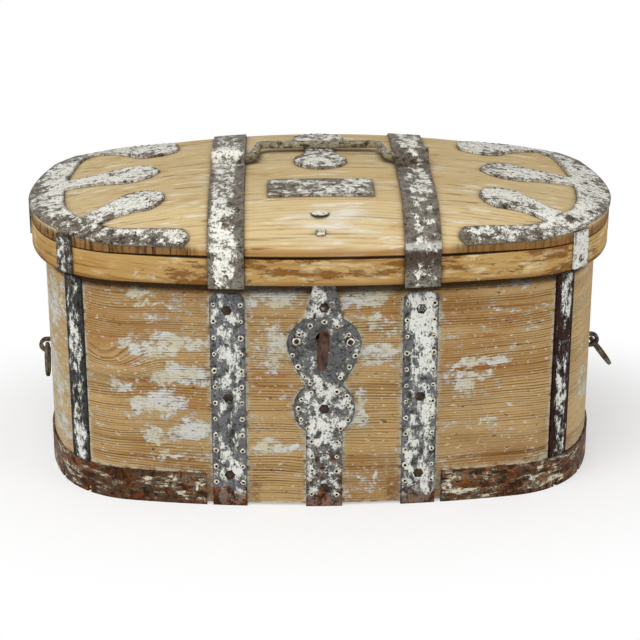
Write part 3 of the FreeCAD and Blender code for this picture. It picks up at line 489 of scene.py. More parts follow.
def skin(name, points, share, round_rows=False):
    """Mesh over grids of points, one grid for each copy: every four neighbours make a face.

    Columns go round, so the last joins the first, and so do the rows if asked. Points that fall together,
    as at a pole, are merged. The share given to each point is kept on the mesh for its material.
    """
    copies, rows, columns = points.shape[:3]
    index = np.arange(copies * rows * columns).reshape(copies, rows, columns)
    index = np.concatenate([index, index[:, :, :1]], axis=2)
    if round_rows:
        index = np.concatenate([index, index[:, :1]], axis=1)
    corners = (index[:, :-1, :-1], index[:, :-1, 1:], index[:, 1:, 1:], index[:, 1:, :-1])
    quads = np.stack(corners, axis=-1).reshape(-1, 4)
    mesh = bpy.data.meshes.new(name)
    mesh.from_pydata(points.reshape(-1, 3).tolist(), [], quads.tolist())
    shares = np.broadcast_to(share, points.shape[:3]).ravel()
    mesh.attributes.new("share", "FLOAT", "POINT").data.foreach_set("value", shares)
    shell = bmesh.new()
    shell.from_mesh(mesh)
    bmesh.ops.remove_doubles(shell, verts=shell.verts, dist=1e-6)
    bmesh.ops.dissolve_degenerate(shell, edges=shell.edges, dist=1e-7)
    shell.to_mesh(mesh)
    shell.free()
    mesh.shade_smooth()
    piece = bpy.data.objects.new(name, mesh)
    bpy.context.scene.collection.objects.link(piece)
    return piece


def seats(node, starts, aim):
    """Places where lines from starting points, along one aim, first meet a CAD node, and normals there."""
    hits = [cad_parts[node].ray_cast(start, aim) for start in starts]
    places = np.array([hit[1] for hit in hits if hit[0]])
    normals = np.array([hit[2] for hit in hits if hit[0]])
    return places, normals


def from_front(node, spots, way_y=-1):
    """Seats on the front of a node, or on its back where way_y is 1, at spots given as x and z."""
    return seats(node, np.insert(spots, 1, way_y * AWAY_Y, axis=1), (0, -way_y, 0))


def turned(name, profile, small, large, sizes, larger, rough, seeds):
    """A profile of (radius, height, share) turned about the normals of two lots of seats, small and large.

    Sizes is the range of the copies' random sizes, and larger the factor for those in the large lot. A random
    factor, up to the rough share more or less, makes each copy's radius uneven at every step round.
    """
    places, normals = (np.concatenate(lots) for lots in zip(*small, *large))
    scale = np.random.default_rng(seeds[0]).uniform(*sizes, len(places))
    scale[sum(len(seat[0]) for seat in small):] *= larger
    scale = scale[:, None, None]
    uneven = 1 + rough * np.random.default_rng(seeds[1]).uniform(-1, 1, (len(places), 1, TURNED_STEPS))
    up = np.where(np.abs(normals[:, 2:]) > 0.7, np.array([[0.0, 1.0, 0.0]]), np.array([[0.0, 0.0, 1.0]]))
    across = np.cross(up, normals)
    across /= np.linalg.norm(across, axis=1, keepdims=True)
    upward = np.cross(normals, across)
    angle = np.linspace(0, 2 * np.pi, TURNED_STEPS, endpoint=False)
    radius = profile[None, :, None, 0] * uneven * scale
    height = np.broadcast_to(profile[None, :, None, 1] * scale, radius.shape)
    points = (
        places[:, None, None, :]
        + (radius * np.cos(angle))[..., None] * across[:, None, None, :]
        + (radius * np.sin(angle))[..., None] * upward[:, None, None, :]
        + height[..., None] * normals[:, None, None, :]
    )
    return skin(name, points, profile[None, :, None, 2])


collar_seats = []
for way_x, end in ENDS:
    columns, rows = np.meshgrid(way_x * STRAP_X + STRAP_COLLAR_X, STRAP_COLLAR_ROWS)
    spots = np.column_stack([columns.ravel(), rows.ravel()])
    for way_y, face in FACES:
        collar_seats.append(from_front(f"body_strap_{end}", spots, way_y))
collar_seats.append(from_front("lock_plate", PLATE_COLLARS))
heart_seats = [from_front("lock_plate", HEART_NAILS)]
collars = turned(
    "paint_collars", COLLAR_PROFILE, collar_seats, heart_seats, COLLAR_SIZES, LARGE_COLLAR,
    rough=0.16, seeds=(11, 12),
)

collar_paint, tree, shader, place, (x, y, z) = new_material("collar_paint")
ring = add(tree, "Attribute", {}, output=2, attribute_name="share")
grime = noise(tree, place, 420.0, detail=4.0)
tone = mix(tree, step(tree, grime, 0.42, 0.62), RING_CLEAN, RING_GRIMY)
# The middle of each ring is painted dark, as painted shade in the hole over the sunk nail.
colour = mix(tree, step(tree, ring, 0.45, 0.75), HOLE_SHADE_TONE, tone)
finish_material(tree, shader, colour, grime, roughness=0.8, depth=0.0004)
collars.data.materials.append(collar_paint)
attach(collars, "box")

# Nails of the corner straps and foot bands: small, round-headed and driven flush.
# They were painted over with the irons, and about half of that paint is worn off.

NAIL_PROFILE = np.array([
    (0.0, -0.0004, 0.0),
    (0.0031, -0.0004, 0.0),
    (0.0029, 0.0005, 0.3),
    (0.0020, 0.0012, 1.0),
    (0.0010, 0.0014, 1.0),
    (0.0, 0.0014, 1.0),
])
CASE_NAIL_SIZES = (0.95, 1.2)
CORNER_NAIL_Z = (0.2255, 0.0874)
CORNER_FACING = np.radians(46.0)
FOOT_NAILS = np.array([(0.2117, 0.017), (0.1265, 0.017)])


def from_corner(node, way_x, way_y, facing, heights):
    """Seats up the middle of a piece that faces out level, at an angle to the box's long axis."""
    aim = np.array([-way_x * np.cos(facing), -way_y * np.sin(facing), 0.0])
    starts = np.tile(np.mean(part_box(node), axis=0) - AWAY_Y * aim, (len(heights), 1))
    starts[:, 2] = heights
    return seats(node, starts, aim)


case_seats = []
for way_x, end in ENDS:
    for way_y, face in FACES:
        strap = f"corner_strap_{face}_{end}"
        case_seats.append(from_corner(strap, way_x, way_y, CORNER_FACING, CORNER_NAIL_Z))
        case_seats.append(from_front(f"base_band_{end}", FOOT_NAILS * (way_x, 1), way_y))
case_nails = turned(
    "case_nails", NAIL_PROFILE, case_seats, [], CASE_NAIL_SIZES, larger=1.0, rough=0.12, seeds=(13, 14)
)
small_nail_iron = forged("small_nail_iron", rgb(110, 96, 70), rgb(46, 36, 26), cover=0.48, rub=0.0006)
case_nails.data.materials.append(small_nail_iron)
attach(case_nails, "box")

# Foot bands: bars bent round the lower edge at each end and folded under the bottom.
# They have rusted most, dark brown with orange patches; paint is left on the bends and along the upper edge.

BAND_TOP, BAND_TOP_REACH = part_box("base_band_left")[1][2], 0.004
LEFT_BEND_X, RIGHT_BEND_X = (-0.25, -0.21), (0.10, 0.14)
FOOT_NAIL_X, FOOT_NAIL_REACH = 0.135, 0.030


def foot_cover(tree, place, x, y, z):
    """Paint on the left bend, less on the right one, round the nails and in a line under the upper edge."""
    cover = 0.262
    for share, more in (
        (fall(tree, x, *LEFT_BEND_X), 0.22),
        (step(tree, x, *RIGHT_BEND_X), 0.10),
        (near(tree, unsigned(tree, x), FOOT_NAIL_X, FOOT_NAIL_REACH), 0.10),
        (near(tree, z, BAND_TOP, BAND_TOP_REACH), 0.10),
    ):
        cover = raised(tree, share, more, cover)
    return cover


def foot_rust(tree, place, x, y, z):
    """Orange rust in broad patches."""
    return step(tree, noise(tree, place, 30.0, detail=5.0), 0.33, 0.70)


foot_iron = forged(
    "foot_iron", rgb(86, 62, 43), rgb(36, 24, 15), foot_cover, pull=(0.42, 0.42, 1.5), rust=foot_rust,
    chalk=rgb(210, 199, 172),
)
dress(foot_iron, "base_band_left", "base_band_right")

# Corner straps: narrow upright bars nailed over the four bends of the wall.
# Bare they are nearly black, the right ones browner; streaks of paint run down their middles.

CORNER_HALF = 0.012
CORNER_PULL = (1.3, 1.3, 0.6)


def streak_down(strap, most):
    """Cover for one corner strap and the one behind it: the most down the middle, little along the edges."""
    tangent = np.array([-np.sin(CORNER_FACING), np.cos(CORNER_FACING), 0.0])
    middle = float(np.abs(np.mean(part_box(strap), axis=0)) @ tangent)

    def cover(tree, place, x, y, z):
        out = add(tree, "CombineXYZ", {0: unsigned(tree, x), 1: unsigned(tree, y)})
        along = add(tree, "VectorMath", {0: out, 1: tangent}, output=1, operation="DOT_PRODUCT")
        beside = unsigned(tree, less(tree, along, middle))
        edge = step(tree, beside, 0.40 * CORNER_HALF, 0.95 * CORNER_HALF)
        return raised(tree, edge, -0.32, most)

    return cover


left_streak = streak_down("corner_strap_front_left", 0.52)
right_streak = streak_down("corner_strap_front_right", 0.43)
corner_iron = forged("corner_iron", rgb(58, 57, 56), rgb(20, 20, 21), left_streak, pull=CORNER_PULL)
brown_iron = forged("brown_iron", rgb(46, 23, 14), rgb(12, 5, 3), right_streak, pull=CORNER_PULL)
dress(corner_iron, "corner_strap_front_left", "corner_strap_back_left")
dress(brown_iron, "corner_strap_front_right", "corner_strap_back_right")

# Lock plate: one sheet cut to a spike, a heart and a round, with its tail folded under the box.
# The heart is bare grey iron, the round keeps the most paint, and the tail's foot is rusted.

ROUND_CENTRE, ROUND_HALVES = (0.0, WALL_FRONT_Y, 0.107), (0.030, 1.0, 0.030)
SPIKE_Z, TAIL_Z, RUST_SPOTS_Z = (0.196, 0.208), (0.070, 0.090), (0.066, 0.086)
SPIKE_COVER, SPIKE_LOSS_X, TAIL_COVER = 0.22, -20.0, 0.30


def plate_cover(tree, place, x, y, z):
    """Much paint on the round, some on the tail and on the left of the spike, little on the heart."""
    on_round = fall(tree, away_from(tree, place, ROUND_CENTRE, ROUND_HALVES), 0.75, 1.25)
    spike = raised(tree, x, SPIKE_LOSS_X, SPIKE_COVER)
    spike = times(tree, step(tree, z, *SPIKE_Z), spike)
    tail = less(tree, TAIL_COVER, step(tree, z, *TAIL_Z))
    cover = raised(tree, on_round, 0.34, 0.24)
    return calc(tree, "ADD", cover, calc(tree, "MAXIMUM", 0.0, calc(tree, "MAXIMUM", spike, tail)))


def plate_rust(tree, place, x, y, z):
    """Rust at the foot, as on the straps, and in spots up the tail."""
    spots = less(tree, 0.42, step(tree, z, *RUST_SPOTS_Z))
    return calc(tree, "MAXIMUM", spots, strap_foot_rust(tree, place, x, y, z))


plate_iron = forged("plate_iron", rgb(102, 103, 103), rgb(66, 64, 60), plate_cover, rust=plate_rust)
dress(plate_iron, "lock_plate")

# Lock works: case, bolt, guides, spring and hasp, of dark forged iron that was never painted.
# They are hidden when the lid is shut, and rust is scattered over them.

lock_iron = forged("lock_iron", rgb(84, 78, 72), rgb(44, 38, 34), cover=0.0, rust=0.36)
dress(lock_iron, "lock_case", "lock_bolt", "bolt_guides", "bolt_spring", "lid_hasp", "lock_case_nails")

# Key: forged with a ring bow, a collar and a warded bit.
# It has rusted an even red-brown, and use has rounded its edges and given it some shine.

SHARP_EDGE = np.radians(35)
TOUCHING = 0.00001


def ease(node, width):
    """Rounds a CAD node's sharp edges, as a hammer or use has, once its faces are joined along them."""
    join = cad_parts[node].modifiers.new("joined_faces", "WELD")
    join.merge_threshold = TOUCHING
    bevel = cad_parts[node].modifiers.new("eased_edges", "BEVEL")
    bevel.width = width
    bevel.segments = 3
    bevel.angle_limit = SHARP_EDGE


key_iron, tree, shader, place, (x, y, z) = new_material("key_iron")
rust = noise(tree, place, 160.0, detail=6.0, roughness=0.68)
colour = mix(tree, step(tree, rust, 0.34, 0.66), rgb(18, 8, 4), rgb(86, 46, 24))
finish_material(tree, shader, colour, rust, roughness=0.32, depth=0.0005, shine=0.34)
dress(key_iron, "key")
ease("key", width=0.0010)

# End eyes and rings: small forged links that hang from eyes driven through the wall.
# Hands have worn them bare but for specks of paint, and rounded the rings.

ring_iron = forged("ring_iron", rgb(112, 101, 84), rgb(48, 40, 31), cover=0.12, rub=0.0008)
dress(ring_iron, "end_eyes", "end_ring_left", "end_ring_right")
for ring in ("end_ring_left", "end_ring_right"):
    ease(ring, width=0.0009)

# Lid rim: a second bent hoop, its grain level round the box.
# Its pale outer face has worn through to red-brown in sharp-edged patches.

RIM_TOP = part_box("lid_rim")[1][2]
RIM_EARLY, RIM_LATE = rgb(186, 154, 99), rgb(104, 63, 22)
RIM_RING_PITCH, RIM_WANDER = 0.006, 0.05
RIM_CLOUD, RIM_WORN, RIM_PALE = rgb(164, 124, 66), rgb(118, 68, 24), rgb(214, 198, 156)
RIM_LOW_SHADE, RIM_LOW_Z = rgb(112, 70, 24), (RIM_BOTTOM, RIM_BOTTOM + 0.006)
RIM_SPOT, RIM_CRACK = rgb(188, 188, 172), rgb(76, 46, 14)
RIM_DIRT_AND_SHADE, RIM_CREVICE_REACH, RIM_GAP_SHADE = rgb(42, 24, 6), 0.006, rgb(24, 13, 4)
MORE_WORN_X = (-0.20, -0.06)
GAP_END_X, GAP_NARROWING = (0.10, 0.24), 0.0010
GAP_EDGES = (0.0009, 0.0016)


def gap_line(tree, x, off):
    """1 along the joint of rim and board, 0 past a millimetre or two off it; narrower towards the ends."""
    ends = step(tree, unsigned(tree, x), *GAP_END_X)
    return fall(tree, raised(tree, ends, GAP_NARROWING, off), *GAP_EDGES)


rim_wood, tree, shader, place, (x, y, z) = new_material("rim_pine")
outer = outside(tree, place)
wander = drawn_noise(tree, place, (5, 5, 20), detail=3)
rings = raised(tree, wander, RIM_WANDER, z)
fibres = drawn(tree, place, (9, 9, 220))
colour, height, line = pine(tree, rings, fibres, RIM_RING_PITCH, RIM_EARLY, RIM_LATE)
colour = weather(tree, colour, place, RIM_CLOUD, 0.7, cells=(8, 8, 22), edges=(0.38, 0.66), detail=3)
worn = drawn_noise(tree, place, (11, 11, 44), detail=10, roughness=0.72)
worn = raised(tree, step(tree, x, *MORE_WORN_X), 0.04, worn)
through = step(tree, worn, 0.545, 0.590)
colour = wash(tree, colour, through, 0.82, RIM_WORN)
colour = weather(tree, colour, place, RIM_PALE, 0.68, cells=(24, 24, 90), edges=(0.54, 0.68), detail=7)
# Painted shade along the rim's bottom edge, darker towards the bottom.
colour = wash(tree, colour, fall(tree, z, *RIM_LOW_Z), 0.62, RIM_LOW_SHADE)
colour = weather(
    tree, colour, place, RIM_SPOT, 0.65, cells=(75, 75, 130), edges=(0.60, 0.68), detail=6, where=outer
)
colour = weather(tree, colour, place, RIM_CRACK, 0.75, cells=(6, 6, 240), edges=(0.62, 0.72), detail=3)
# Dirt and painted shade darken the rim in the corners against the irons.
colour = wash(tree, colour, crevice(tree, RIM_CREVICE_REACH), 0.85, RIM_DIRT_AND_SHADE)
# Painted shade of the gap between rim and board: a dark line along their joint.
gap = gap_line(tree, x, less(tree, RIM_TOP, z))
colour = wash(tree, colour, gap, 0.92, RIM_GAP_SHADE)
height = raised(tree, through, -0.8, height)
finish_material(tree, shader, colour, height, roughness=0.70, depth=0.0006)
dress(rim_wood, "lid_rim")

# Lid board: one thick plank carved to a dome and hollowed below, rubbed pale, its rings cut by the carving.
# Saw marks show dark on its upright edge, beyond the straps.
# There a darker wash covers the edge, partly the hewn wood's own tone and partly painted shade under the end
# bands.

BOARD_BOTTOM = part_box("lid_board")[0][2]
LID_EARLY, LID_LATE = rgb(210, 188, 143), rgb(170, 137, 88)
LID_RING_PITCH, LID_WANDER = 0.0036, 0.016
HEART_Y, HEART_Z = 0.30, 0.16
LID_CLOUD, LID_STROKE, LID_SPLIT = rgb(200, 166, 108), rgb(116, 92, 60), rgb(92, 62, 30)
LID_STAIN, LID_PALE, LID_SMEAR = rgb(168, 124, 70), rgb(228, 222, 203), rgb(220, 219, 208)
SMEAR_PLACE, SMEAR_HALVES = (0.010, -0.147, 0.300), (0.052, 0.028, 1.0)
LID_LOW_TONE, LID_LOW_Z = rgb(148, 100, 42), (BOARD_BOTTOM + 0.004, BOARD_BOTTOM + 0.010)
HEWN_AND_SHADE_TONE, HEWN_X = rgb(112, 74, 30), (0.115, 0.135)
UPRIGHT_Z = (BOARD_BOTTOM + 0.008, BOARD_BOTTOM + 0.013)
SAW_TONE, LID_GAP_SHADE = rgb(28, 15, 4), rgb(26, 14, 4)
LID_DIRT_AND_SHADE, LID_CREVICE_REACH = rgb(54, 34, 14), 0.007

lid_wood, tree, shader, place, (x, y, z) = new_material("lid_pine")
outer = outside(tree, place)
wander = drawn_noise(tree, place, (2.6, 7, 7), detail=3)
from_heart = add(tree, "CombineXYZ", {0: less(tree, y, HEART_Y), 1: less(tree, z, HEART_Z)})
rings = add(tree, "VectorMath", {0: from_heart}, output=1, operation="LENGTH")
rings = raised(tree, wander, LID_WANDER, rings)
fibres = drawn(tree, place, (10, 300, 300))
colour, height, line = pine(tree, rings, fibres, LID_RING_PITCH, LID_EARLY, LID_LATE)
colour = weather(tree, colour, place, LID_CLOUD, 0.50, cells=(4, 16, 16), edges=(0.46, 0.72), detail=4)
colour = weather(tree, colour, place, LID_STROKE, 0.55, cells=(6, 210, 210), edges=(0.57, 0.68), detail=5)
colour = weather(tree, colour, place, LID_SPLIT, 0.75, cells=(3.4, 150, 150), edges=(0.655, 0.70), detail=3)
colour = weather(
    tree, colour, place, LID_STAIN, 0.42, cells=(16, 44, 44), edges=(0.55, 0.66), detail=7, roughness=0.66
)
bleach = drawn_noise(tree, place, (22, 110, 110), detail=7)
pale = times(tree, step(tree, bleach, 0.55, 0.66), outer)
colour = wash(tree, colour, pale, 0.66, LID_PALE)
smear = fall(tree, away_from(tree, place, SMEAR_PLACE, SMEAR_HALVES), 0.35, 1.20)
smear = times(tree, smear, step(tree, bleach, 0.40, 0.58))
colour = wash(tree, colour, times(tree, smear, outer), 0.50, LID_SMEAR)
low_edge = times(tree, fall(tree, z, *LID_LOW_Z), outer)
colour = wash(tree, colour, low_edge, 0.75, LID_LOW_TONE)
upright = times(tree, fall(tree, z, *UPRIGHT_Z), outer)
hewn = times(tree, step(tree, unsigned(tree, x), *HEWN_X), upright)
# Darker wash beyond the straps: hewn wood, and painted shade under the end bands.
colour = wash(tree, colour, hewn, 0.64, HEWN_AND_SHADE_TONE)
saw = drawn_noise(tree, place, (330, 110, 34), detail=4)
sawn = times(tree, hewn, step(tree, saw, 0.42, 0.68))
sawn = times(tree, sawn, raised(tree, right_half(tree, x), -0.5, 1.0))
colour = wash(tree, colour, sawn, 0.94, SAW_TONE)
# Painted shade of the gap between board and rim: a dark line along the board's lower edge.
gap = times(tree, gap_line(tree, x, less(tree, z, BOARD_BOTTOM)), outer)
colour = wash(tree, colour, gap, 0.92, LID_GAP_SHADE)
# Dirt and painted shade darken the board in the corners against the irons.
colour = wash(tree, colour, crevice(tree, LID_CREVICE_REACH), 0.85, LID_DIRT_AND_SHADE)
finish_material(tree, shader, colour, height, roughness=0.66, depth=0.0005)
dress(lid_wood, "lid_board")

# Lid straps: they carry on from the body's straps, over the board and down the rim.
# Browner than the irons below, they keep thick flaked paint; the right one is bare where it bends down.

# Paint on the lid's irons is a lighter copy of the chalk white, painted for the stronger light on the lid's
# top.
TOP_LIT_CHALK = rgb(230, 228, 218)
BROWN_IRON, DEEP_BROWN_IRON = rgb(124, 117, 106), rgb(74, 68, 58)
LID_BEND_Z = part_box("lid_end_band_left")[0][2] + 0.0015
BEND_REACH = 0.005
DROP_LOW_Z = (RIM_BOTTOM + 0.010, RIM_BOTTOM + 0.022)
DROP_HIGH_Z = (LID_BEND_Z - 0.008, LID_BEND_Z - 0.001)
RUBBED_Y = (-0.112, -0.082)
PAINT_SHIFT = 0.0025


def front_right(tree, x, y):
    """1 in the front right quarter of the box, 0 elsewhere."""
    return times(tree, calc(tree, "GREATER_THAN", x, 0.0), calc(tree, "LESS_THAN", y, 0.0))


# The right strap's front below its bend: less paint, and a brown that is partly stain and partly painted
# shade.
def right_drop(tree, place, x, y, z):
    """1 on the front of the right strap below its bend, but for its last centimetre or two; 0 elsewhere."""
    drop = less(tree, step(tree, z, *DROP_LOW_Z), step(tree, z, *DROP_HIGH_Z))
    return times(tree, drop, front_right(tree, x, y))


def lid_strap_cover(tree, place, x, y, z):
    """Thick just outside the middle, little near the edges and on the front of the right strap."""
    aside = step(tree, along_straps(tree, x, shift=PAINT_SHIFT), 0.45, 0.88)
    rubbed = times(tree, right_half(tree, x), fall(tree, y, *RUBBED_Y))
    cover = raised(tree, aside, -0.34, 0.51)
    cover = raised(tree, right_drop(tree, place, x, y, z), -0.10, cover)
    return raised(tree, rubbed, -0.19, cover)


def highlighted_bend(tree, place, x, y, z):
    """Painted highlight on the right strap's front bend."""
    return times(tree, near(tree, z, LID_BEND_Z, BEND_REACH), front_right(tree, x, y))


# Painted highlight on the right strap's bend; its front below is brown, partly stain and partly painted
# shade.
lid_iron = forged(
    "lid_iron", BROWN_IRON, DEEP_BROWN_IRON, lid_strap_cover, pull=(1.0, 0.7, 1.0), chalk=TOP_LIT_CHALK,
    highlight=highlighted_bend, stained_and_shaded=right_drop,
)
dress(lid_iron, "lid_strap_left", "lid_strap_right")

# End bands: one forging at each end, a band along the lid's edge with two tails, and three leaves welded in.
# Their paint is the thickest on the box, chipped all over.

LID_HALVES, LID_POWER = (0.300, 0.174), 2.8
TAIL_Y = (-0.146, -0.128)


def band_cover(tree, place, x, y, z):
    """Most of it left on the leaves and the inner edge, little along the outer edge and the front tails.

    Nearness to the lid's edge is the sum of the powers of the two shares of its half sizes, 1 on the edge.
    """
    shares = [calc(tree, "DIVIDE", unsigned(tree, at), half) for at, half in zip((x, y), LID_HALVES)]
    nearness = calc(tree, "ADD", *(calc(tree, "POWER", share, LID_POWER) for share in shares))
    cover = raised(tree, step(tree, nearness, 0.78, 0.97), -0.23, 0.67)
    return raised(tree, fall(tree, y, *TAIL_Y), -0.06, cover)


band_iron = forged("band_iron", rgb(116, 106, 94), rgb(66, 58, 48), band_cover, chalk=TOP_LIT_CHALK)
dress(band_iron, "lid_end_band_left", "lid_end_band_right")

# Nails of the lid: small ones close together round the edges of the leaves and of the plate under the handle,
# and larger ones in straps, staples, bands' tails and tabs. All were painted over with the irons.

LEAVES = np.array([
    [(-0.228, -0.118), (-0.158, -0.077)],
    [(-0.268, 0.0), (-0.165, 0.0)],
    [(-0.236, 0.117), (-0.150, 0.066)],
])
LEAF_WIDEST = 0.64
LEAF_ROOT_HALF, LEAF_HALF, LEAF_SWELL = 0.013, 0.0255, 2.6
LEAF_STEPS = np.linspace(0.36, 0.98, 9)
EDGE_INSET = 0.0021
REST_LOBES_Y = (0.0, 0.076)
REST_LOBE_RADIUS = 0.027
LOBE_STEPS = np.linspace(-0.75 * np.pi, 0.75 * np.pi, 17)
TAIL_NAILS = np.array([(-0.140, -0.1560), (-0.175, -0.1520), (-0.224, -0.1370), (-0.276, 0.0)])
STRAP_NAILS = np.array([(0.0, -0.149), (0.0, -0.078), (0.0, 0.090), (0.0, 0.150)])
STRAP_NAIL_Z = 0.250
STAPLE_NAILS = np.array([(-0.011, 0.036), (0.0, 0.036), (0.011, 0.036), (-0.006, -0.0165), (0.006, -0.0165)])
TAB_FACING, TAB_NAIL_UP = np.radians(60.0), 0.010
LID_NAIL_SIZES, LARGE_NAIL = (0.42, 0.62), 2.0
AWAY_Z = 0.45

early = LEAF_ROOT_HALF + (LEAF_HALF - LEAF_ROOT_HALF) * (LEAF_STEPS / LEAF_WIDEST) ** LEAF_SWELL
late = LEAF_HALF * np.sqrt(1 - np.clip((LEAF_STEPS - LEAF_WIDEST) / (1 - LEAF_WIDEST), 0, 1) ** 2)
leaf_half = np.where(LEAF_STEPS < LEAF_WIDEST, early, late) - EDGE_INSET
root, tip = LEAVES[:, 0], LEAVES[:, 1]
across = np.column_stack([root[:, 1] - tip[:, 1], tip[:, 0] - root[:, 0]])
across /= np.linalg.norm(across, axis=1, keepdims=True)
spine = root[:, None] + (tip - root)[:, None] * LEAF_STEPS[:, None]
sideways = across[:, None] * leaf_half[:, None]
leaf_edge = np.concatenate([spine + sideways, spine - sideways]).reshape(-1, 2)
lobe = (REST_LOBE_RADIUS - EDGE_INSET) * np.column_stack([np.sin(LOBE_STEPS), -np.cos(LOBE_STEPS)])
lobe_edge = np.concatenate([lobe + (0, REST_LOBES_Y[0]), lobe * (1, -1) + (0, REST_LOBES_Y[1])])


def from_above(node, spots):
    """Seats on top of a node, at spots in plan."""
    return seats(node, np.insert(spots, 2, AWAY_Z, axis=1), (0, 0, -1))


edge_seats = [from_above("handle_rest", lobe_edge)]
large_seats = []
tails = np.concatenate([TAIL_NAILS, TAIL_NAILS[:3] * (1, -1)])
for way_x, end in ENDS:
    mirror = (-way_x, 1)
    strap_middle = (way_x * STRAP_X, 0)
    edge_seats.append(from_above(f"lid_end_band_{end}", leaf_edge * mirror))
    large_seats.append(from_above(f"lid_end_band_{end}", tails * mirror))
    large_seats.append(from_above(f"lid_strap_{end}", STRAP_NAILS + strap_middle))
    large_seats.append(from_front(f"lid_strap_{end}", np.array([(way_x * STRAP_X, STRAP_NAIL_Z)])))
    large_seats.append(from_above("handle_staples", STAPLE_NAILS + strap_middle))
for way_x, end in ENDS:
    for way_y, face in FACES:
        tab = f"lid_tab_{face}_{end}"
        large_seats.append(from_corner(tab, way_x, way_y, TAB_FACING, [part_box(tab)[0][2] + TAB_NAIL_UP]))
lid_nails = turned(
    "lid_nails", NAIL_PROFILE, edge_seats, large_seats, LID_NAIL_SIZES, LARGE_NAIL, rough=0.16, seeds=(15, 16)
)
lid_nails.data.materials.append(small_nail_iron)
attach(lid_nails, "lid")

# Rim tabs: short strips nailed from the band down the rim, two in front, two behind and one at each end.
# The left ones have worn dark, with streaks of paint; the right ones keep most of theirs.


def tab_cover(tree, place, x, y, z):
    """Streaks on the left tabs, nearly whole on the right ones."""
    return raised(tree, right_half(tree, x), 0.30, 0.44)


tab_iron = forged("tab_iron", rgb(78, 70, 64), rgb(40, 34, 30), tab_cover, pull=(1.0, 1.0, 0.7))
for end in ("left", "right"):
    dress(tab_iron, f"lid_tab_front_{end}", f"lid_tab_back_{end}", f"lid_tab_end_{end}")

# Plates on the lid: a plain bare plate in front, its edge hammered up to a low bead,
# and the double-lobed plate that the handle lies across. Paint is left on both in smears and chips.

PLATE_LOW, PLATE_HIGH = (np.array(corner[:2]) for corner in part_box("name_plate"))
BEAD_INSET, BEAD_CORNER, BEAD_RADIUS = 0.0018, 0.006, 0.0012
BEAD_CORNER_STEPS, BEAD_SEGMENTS = 6, 8

name_plate_iron = forged(
    "name_plate_iron", rgb(124, 115, 98), rgb(78, 69, 56), cover=0.53, pull=(0.7, 1.0, 1.0), chalk=TOP_LIT_CHALK
)
rest_iron = forged("rest_iron", BROWN_IRON, DEEP_BROWN_IRON, cover=0.54, chalk=TOP_LIT_CHALK)
dress(name_plate_iron, "name_plate")
dress(rest_iron, "handle_rest")

plate_half = (PLATE_HIGH - PLATE_LOW) / 2 - BEAD_INSET
turn = np.linspace(0, np.pi / 2, BEAD_CORNER_STEPS) + np.arange(4)[:, None] * np.pi / 2
swing = np.stack([np.cos(turn), np.sin(turn)], axis=-1)
corner_signs = np.array([(1, 1), (-1, 1), (-1, -1), (1, -1)])[:, None]
outline = corner_signs * (plate_half - BEAD_CORNER) + BEAD_CORNER * swing
outline = outline.reshape(-1, 2) + (PLATE_LOW + PLATE_HIGH) / 2
places, normals = from_above("name_plate", outline)
along = np.roll(places, -1, axis=0) - np.roll(places, 1, axis=0)
sideways = np.cross(normals, along)
sideways /= np.linalg.norm(sideways, axis=1, keepdims=True)
angle = np.linspace(0, 2 * np.pi, BEAD_SEGMENTS, endpoint=False)[:, None]
bead = np.cos(angle) * sideways[:, None] + np.sin(angle) * normals[:, None]
bead = places[:, None] + BEAD_RADIUS * bead
plate_bead = skin("plate_bead", bead[None], 1.0, round_rows=True)
plate_bead.data.materials.append(name_plate_iron)
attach(plate_bead, "lid")

# Rivet and square nail over the lock: the rivet holds the hasp under the lid.
# Both were painted with the lid and have worn back to grey in places.

rivet_iron = forged(
    "rivet_iron", rgb(134, 126, 108), rgb(72, 64, 50), cover=0.62, chalk=rgb(222, 216, 198), rub=0.0012
)
dress(rivet_iron, "hasp_rivet", "lid_square_nail")

# Handle: a bar folded back on its rest plate; its legs turn under broad staples swaged over the lid straps.
# Hands have worn the bar nearly bare and rounded it; the left staple is half painted, the right one less.


def staple_cover(tree, place, x, y, z):
    """Half painted on the left, worn on the right."""
    return raised(tree, right_half(tree, x), -0.28, 0.58)


handle_iron = forged("handle_iron", rgb(154, 144, 119), rgb(62, 54, 40), cover=0.22, rub=0.0012)
staple_iron = forged("staple_iron", rgb(112, 104, 94), rgb(66, 58, 48), staple_cover, chalk=TOP_LIT_CHALK)
dress(handle_iron, "lid_handle")
ease("lid_handle", width=0.0020)
dress(staple_iron, "handle_staples")

# Studio: a pale floor that runs out into plain white, under a plain white sky.
# One broad light stands above and in front, and a weaker one on each side.

FLOOR_SIZE, FLOOR_TONE = 12.0, (0.93, 0.93, 0.93, 1.0)
FLOOR_HALVES = (1.0, 0.6, 1.0)
FLOOR_NEAR, FLOOR_FAR = 0.30, 0.62
FLOOR_GLOW, SKY_LIGHT = 0.45, 0.35
WHITE = (1.0, 1.0, 1.0, 1.0)
MIDDLE = (0, 0, 0.15)
LIGHT_SIZE = 1.4


def shown(tree):
    """1 for what the camera sees, straight or in a reflection or through glass; 0 for light on the object."""
    rays = tree.nodes.new("ShaderNodeLightPath").outputs
    bent = calc(tree, "MAXIMUM", rays["Is Glossy Ray"], rays["Is Transmission Ray"])
    return calc(tree, "MAXIMUM", rays["Is Camera Ray"], bent)


def area_light(name, place, power):
    """Square soft light that shines from a place towards the middle of the box."""
    data = bpy.data.lights.new(name, "AREA")
    data.size = LIGHT_SIZE
    data.energy = power
    lamp = bpy.data.objects.new(name, data)
    lamp.location = place
    turn = Vector(MIDDLE) - Vector(place)
    lamp.rotation_euler = turn.to_track_quat("-Z", "Y").to_euler()
    bpy.context.scene.collection.objects.link(lamp)


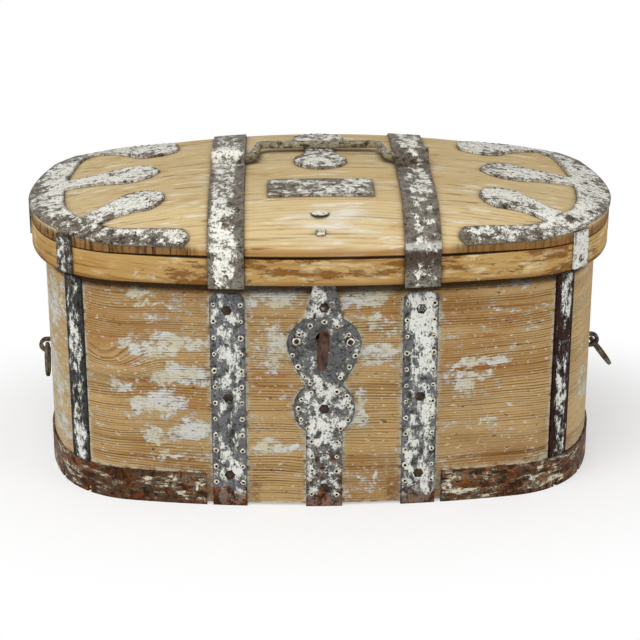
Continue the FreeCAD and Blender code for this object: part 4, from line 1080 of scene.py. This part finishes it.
floor_mesh = bpy.data.meshes.new("floor")
half = FLOOR_SIZE / 2
corners = [(-half, -half, 0), (half, -half, 0), (half, half, 0), (-half, half, 0)]
floor_mesh.from_pydata(corners, [], [(0, 1, 2, 3)])
floor = bpy.data.objects.new("floor", floor_mesh)
bpy.context.scene.collection.objects.link(floor)
floor_paint, tree, shader, place, (x, y, z) = new_material("floor_paint")
feed(tree, shader.inputs["Base Color"], FLOOR_TONE)
feed(tree, shader.inputs["Roughness"], 0.9)
out = step(tree, away_from(tree, place, (0, 0, 0), FLOOR_HALVES), FLOOR_NEAR, FLOOR_FAR)
white = times(tree, shown(tree), raised(tree, out, 1.0 - FLOOR_GLOW, FLOOR_GLOW))
glow = add(tree, "Emission", {"Color": WHITE, "Strength": 1.0})
surface = add(tree, "MixShader", {0: white, 1: shader.outputs[0], 2: glow})
feed(tree, tree.nodes["Material Output"].inputs["Surface"], surface)
floor_mesh.materials.append(floor_paint)

world = bpy.data.worlds.new("studio")
bpy.context.scene.world = world
world.use_nodes = True
tree = world.node_tree
background = tree.nodes["Background"]
feed(tree, background.inputs["Color"], WHITE)
sky = raised(tree, shown(tree), 1.0 - SKY_LIGHT, SKY_LIGHT)
feed(tree, background.inputs["Strength"], sky)

area_light("key_light", (-0.5, -1.2, 2.2), power=30)
area_light("left_light", (-2.0, -1.2, 0.9), power=18)
area_light("right_light", (2.0, -1.4, 0.9), power=20)

# Camera: a long lens from in front, a little left of the middle and about twenty degrees above.
# Its place and lens were fitted to the outline of the lid, the foot and the straps.

CAMERA_PLACE = (-0.0480, -1.8638, 0.8739)
CAMERA_AIM = (0, 0, 0.1379)
SENSOR_WIDTH, LENS = 36.0, 106.07

camera_data = bpy.data.cameras.new("camera")
camera_data.sensor_width = SENSOR_WIDTH
camera_data.lens = LENS
camera = bpy.data.objects.new("camera", camera_data)
camera.location = CAMERA_PLACE
sight = Vector(CAMERA_AIM) - camera.location
camera.rotation_euler = sight.to_track_quat("-Z", "Y").to_euler()
bpy.context.scene.collection.objects.link(camera)
bpy.context.scene.camera = camera
bpy.context.scene.view_settings.view_transform = "Standard"
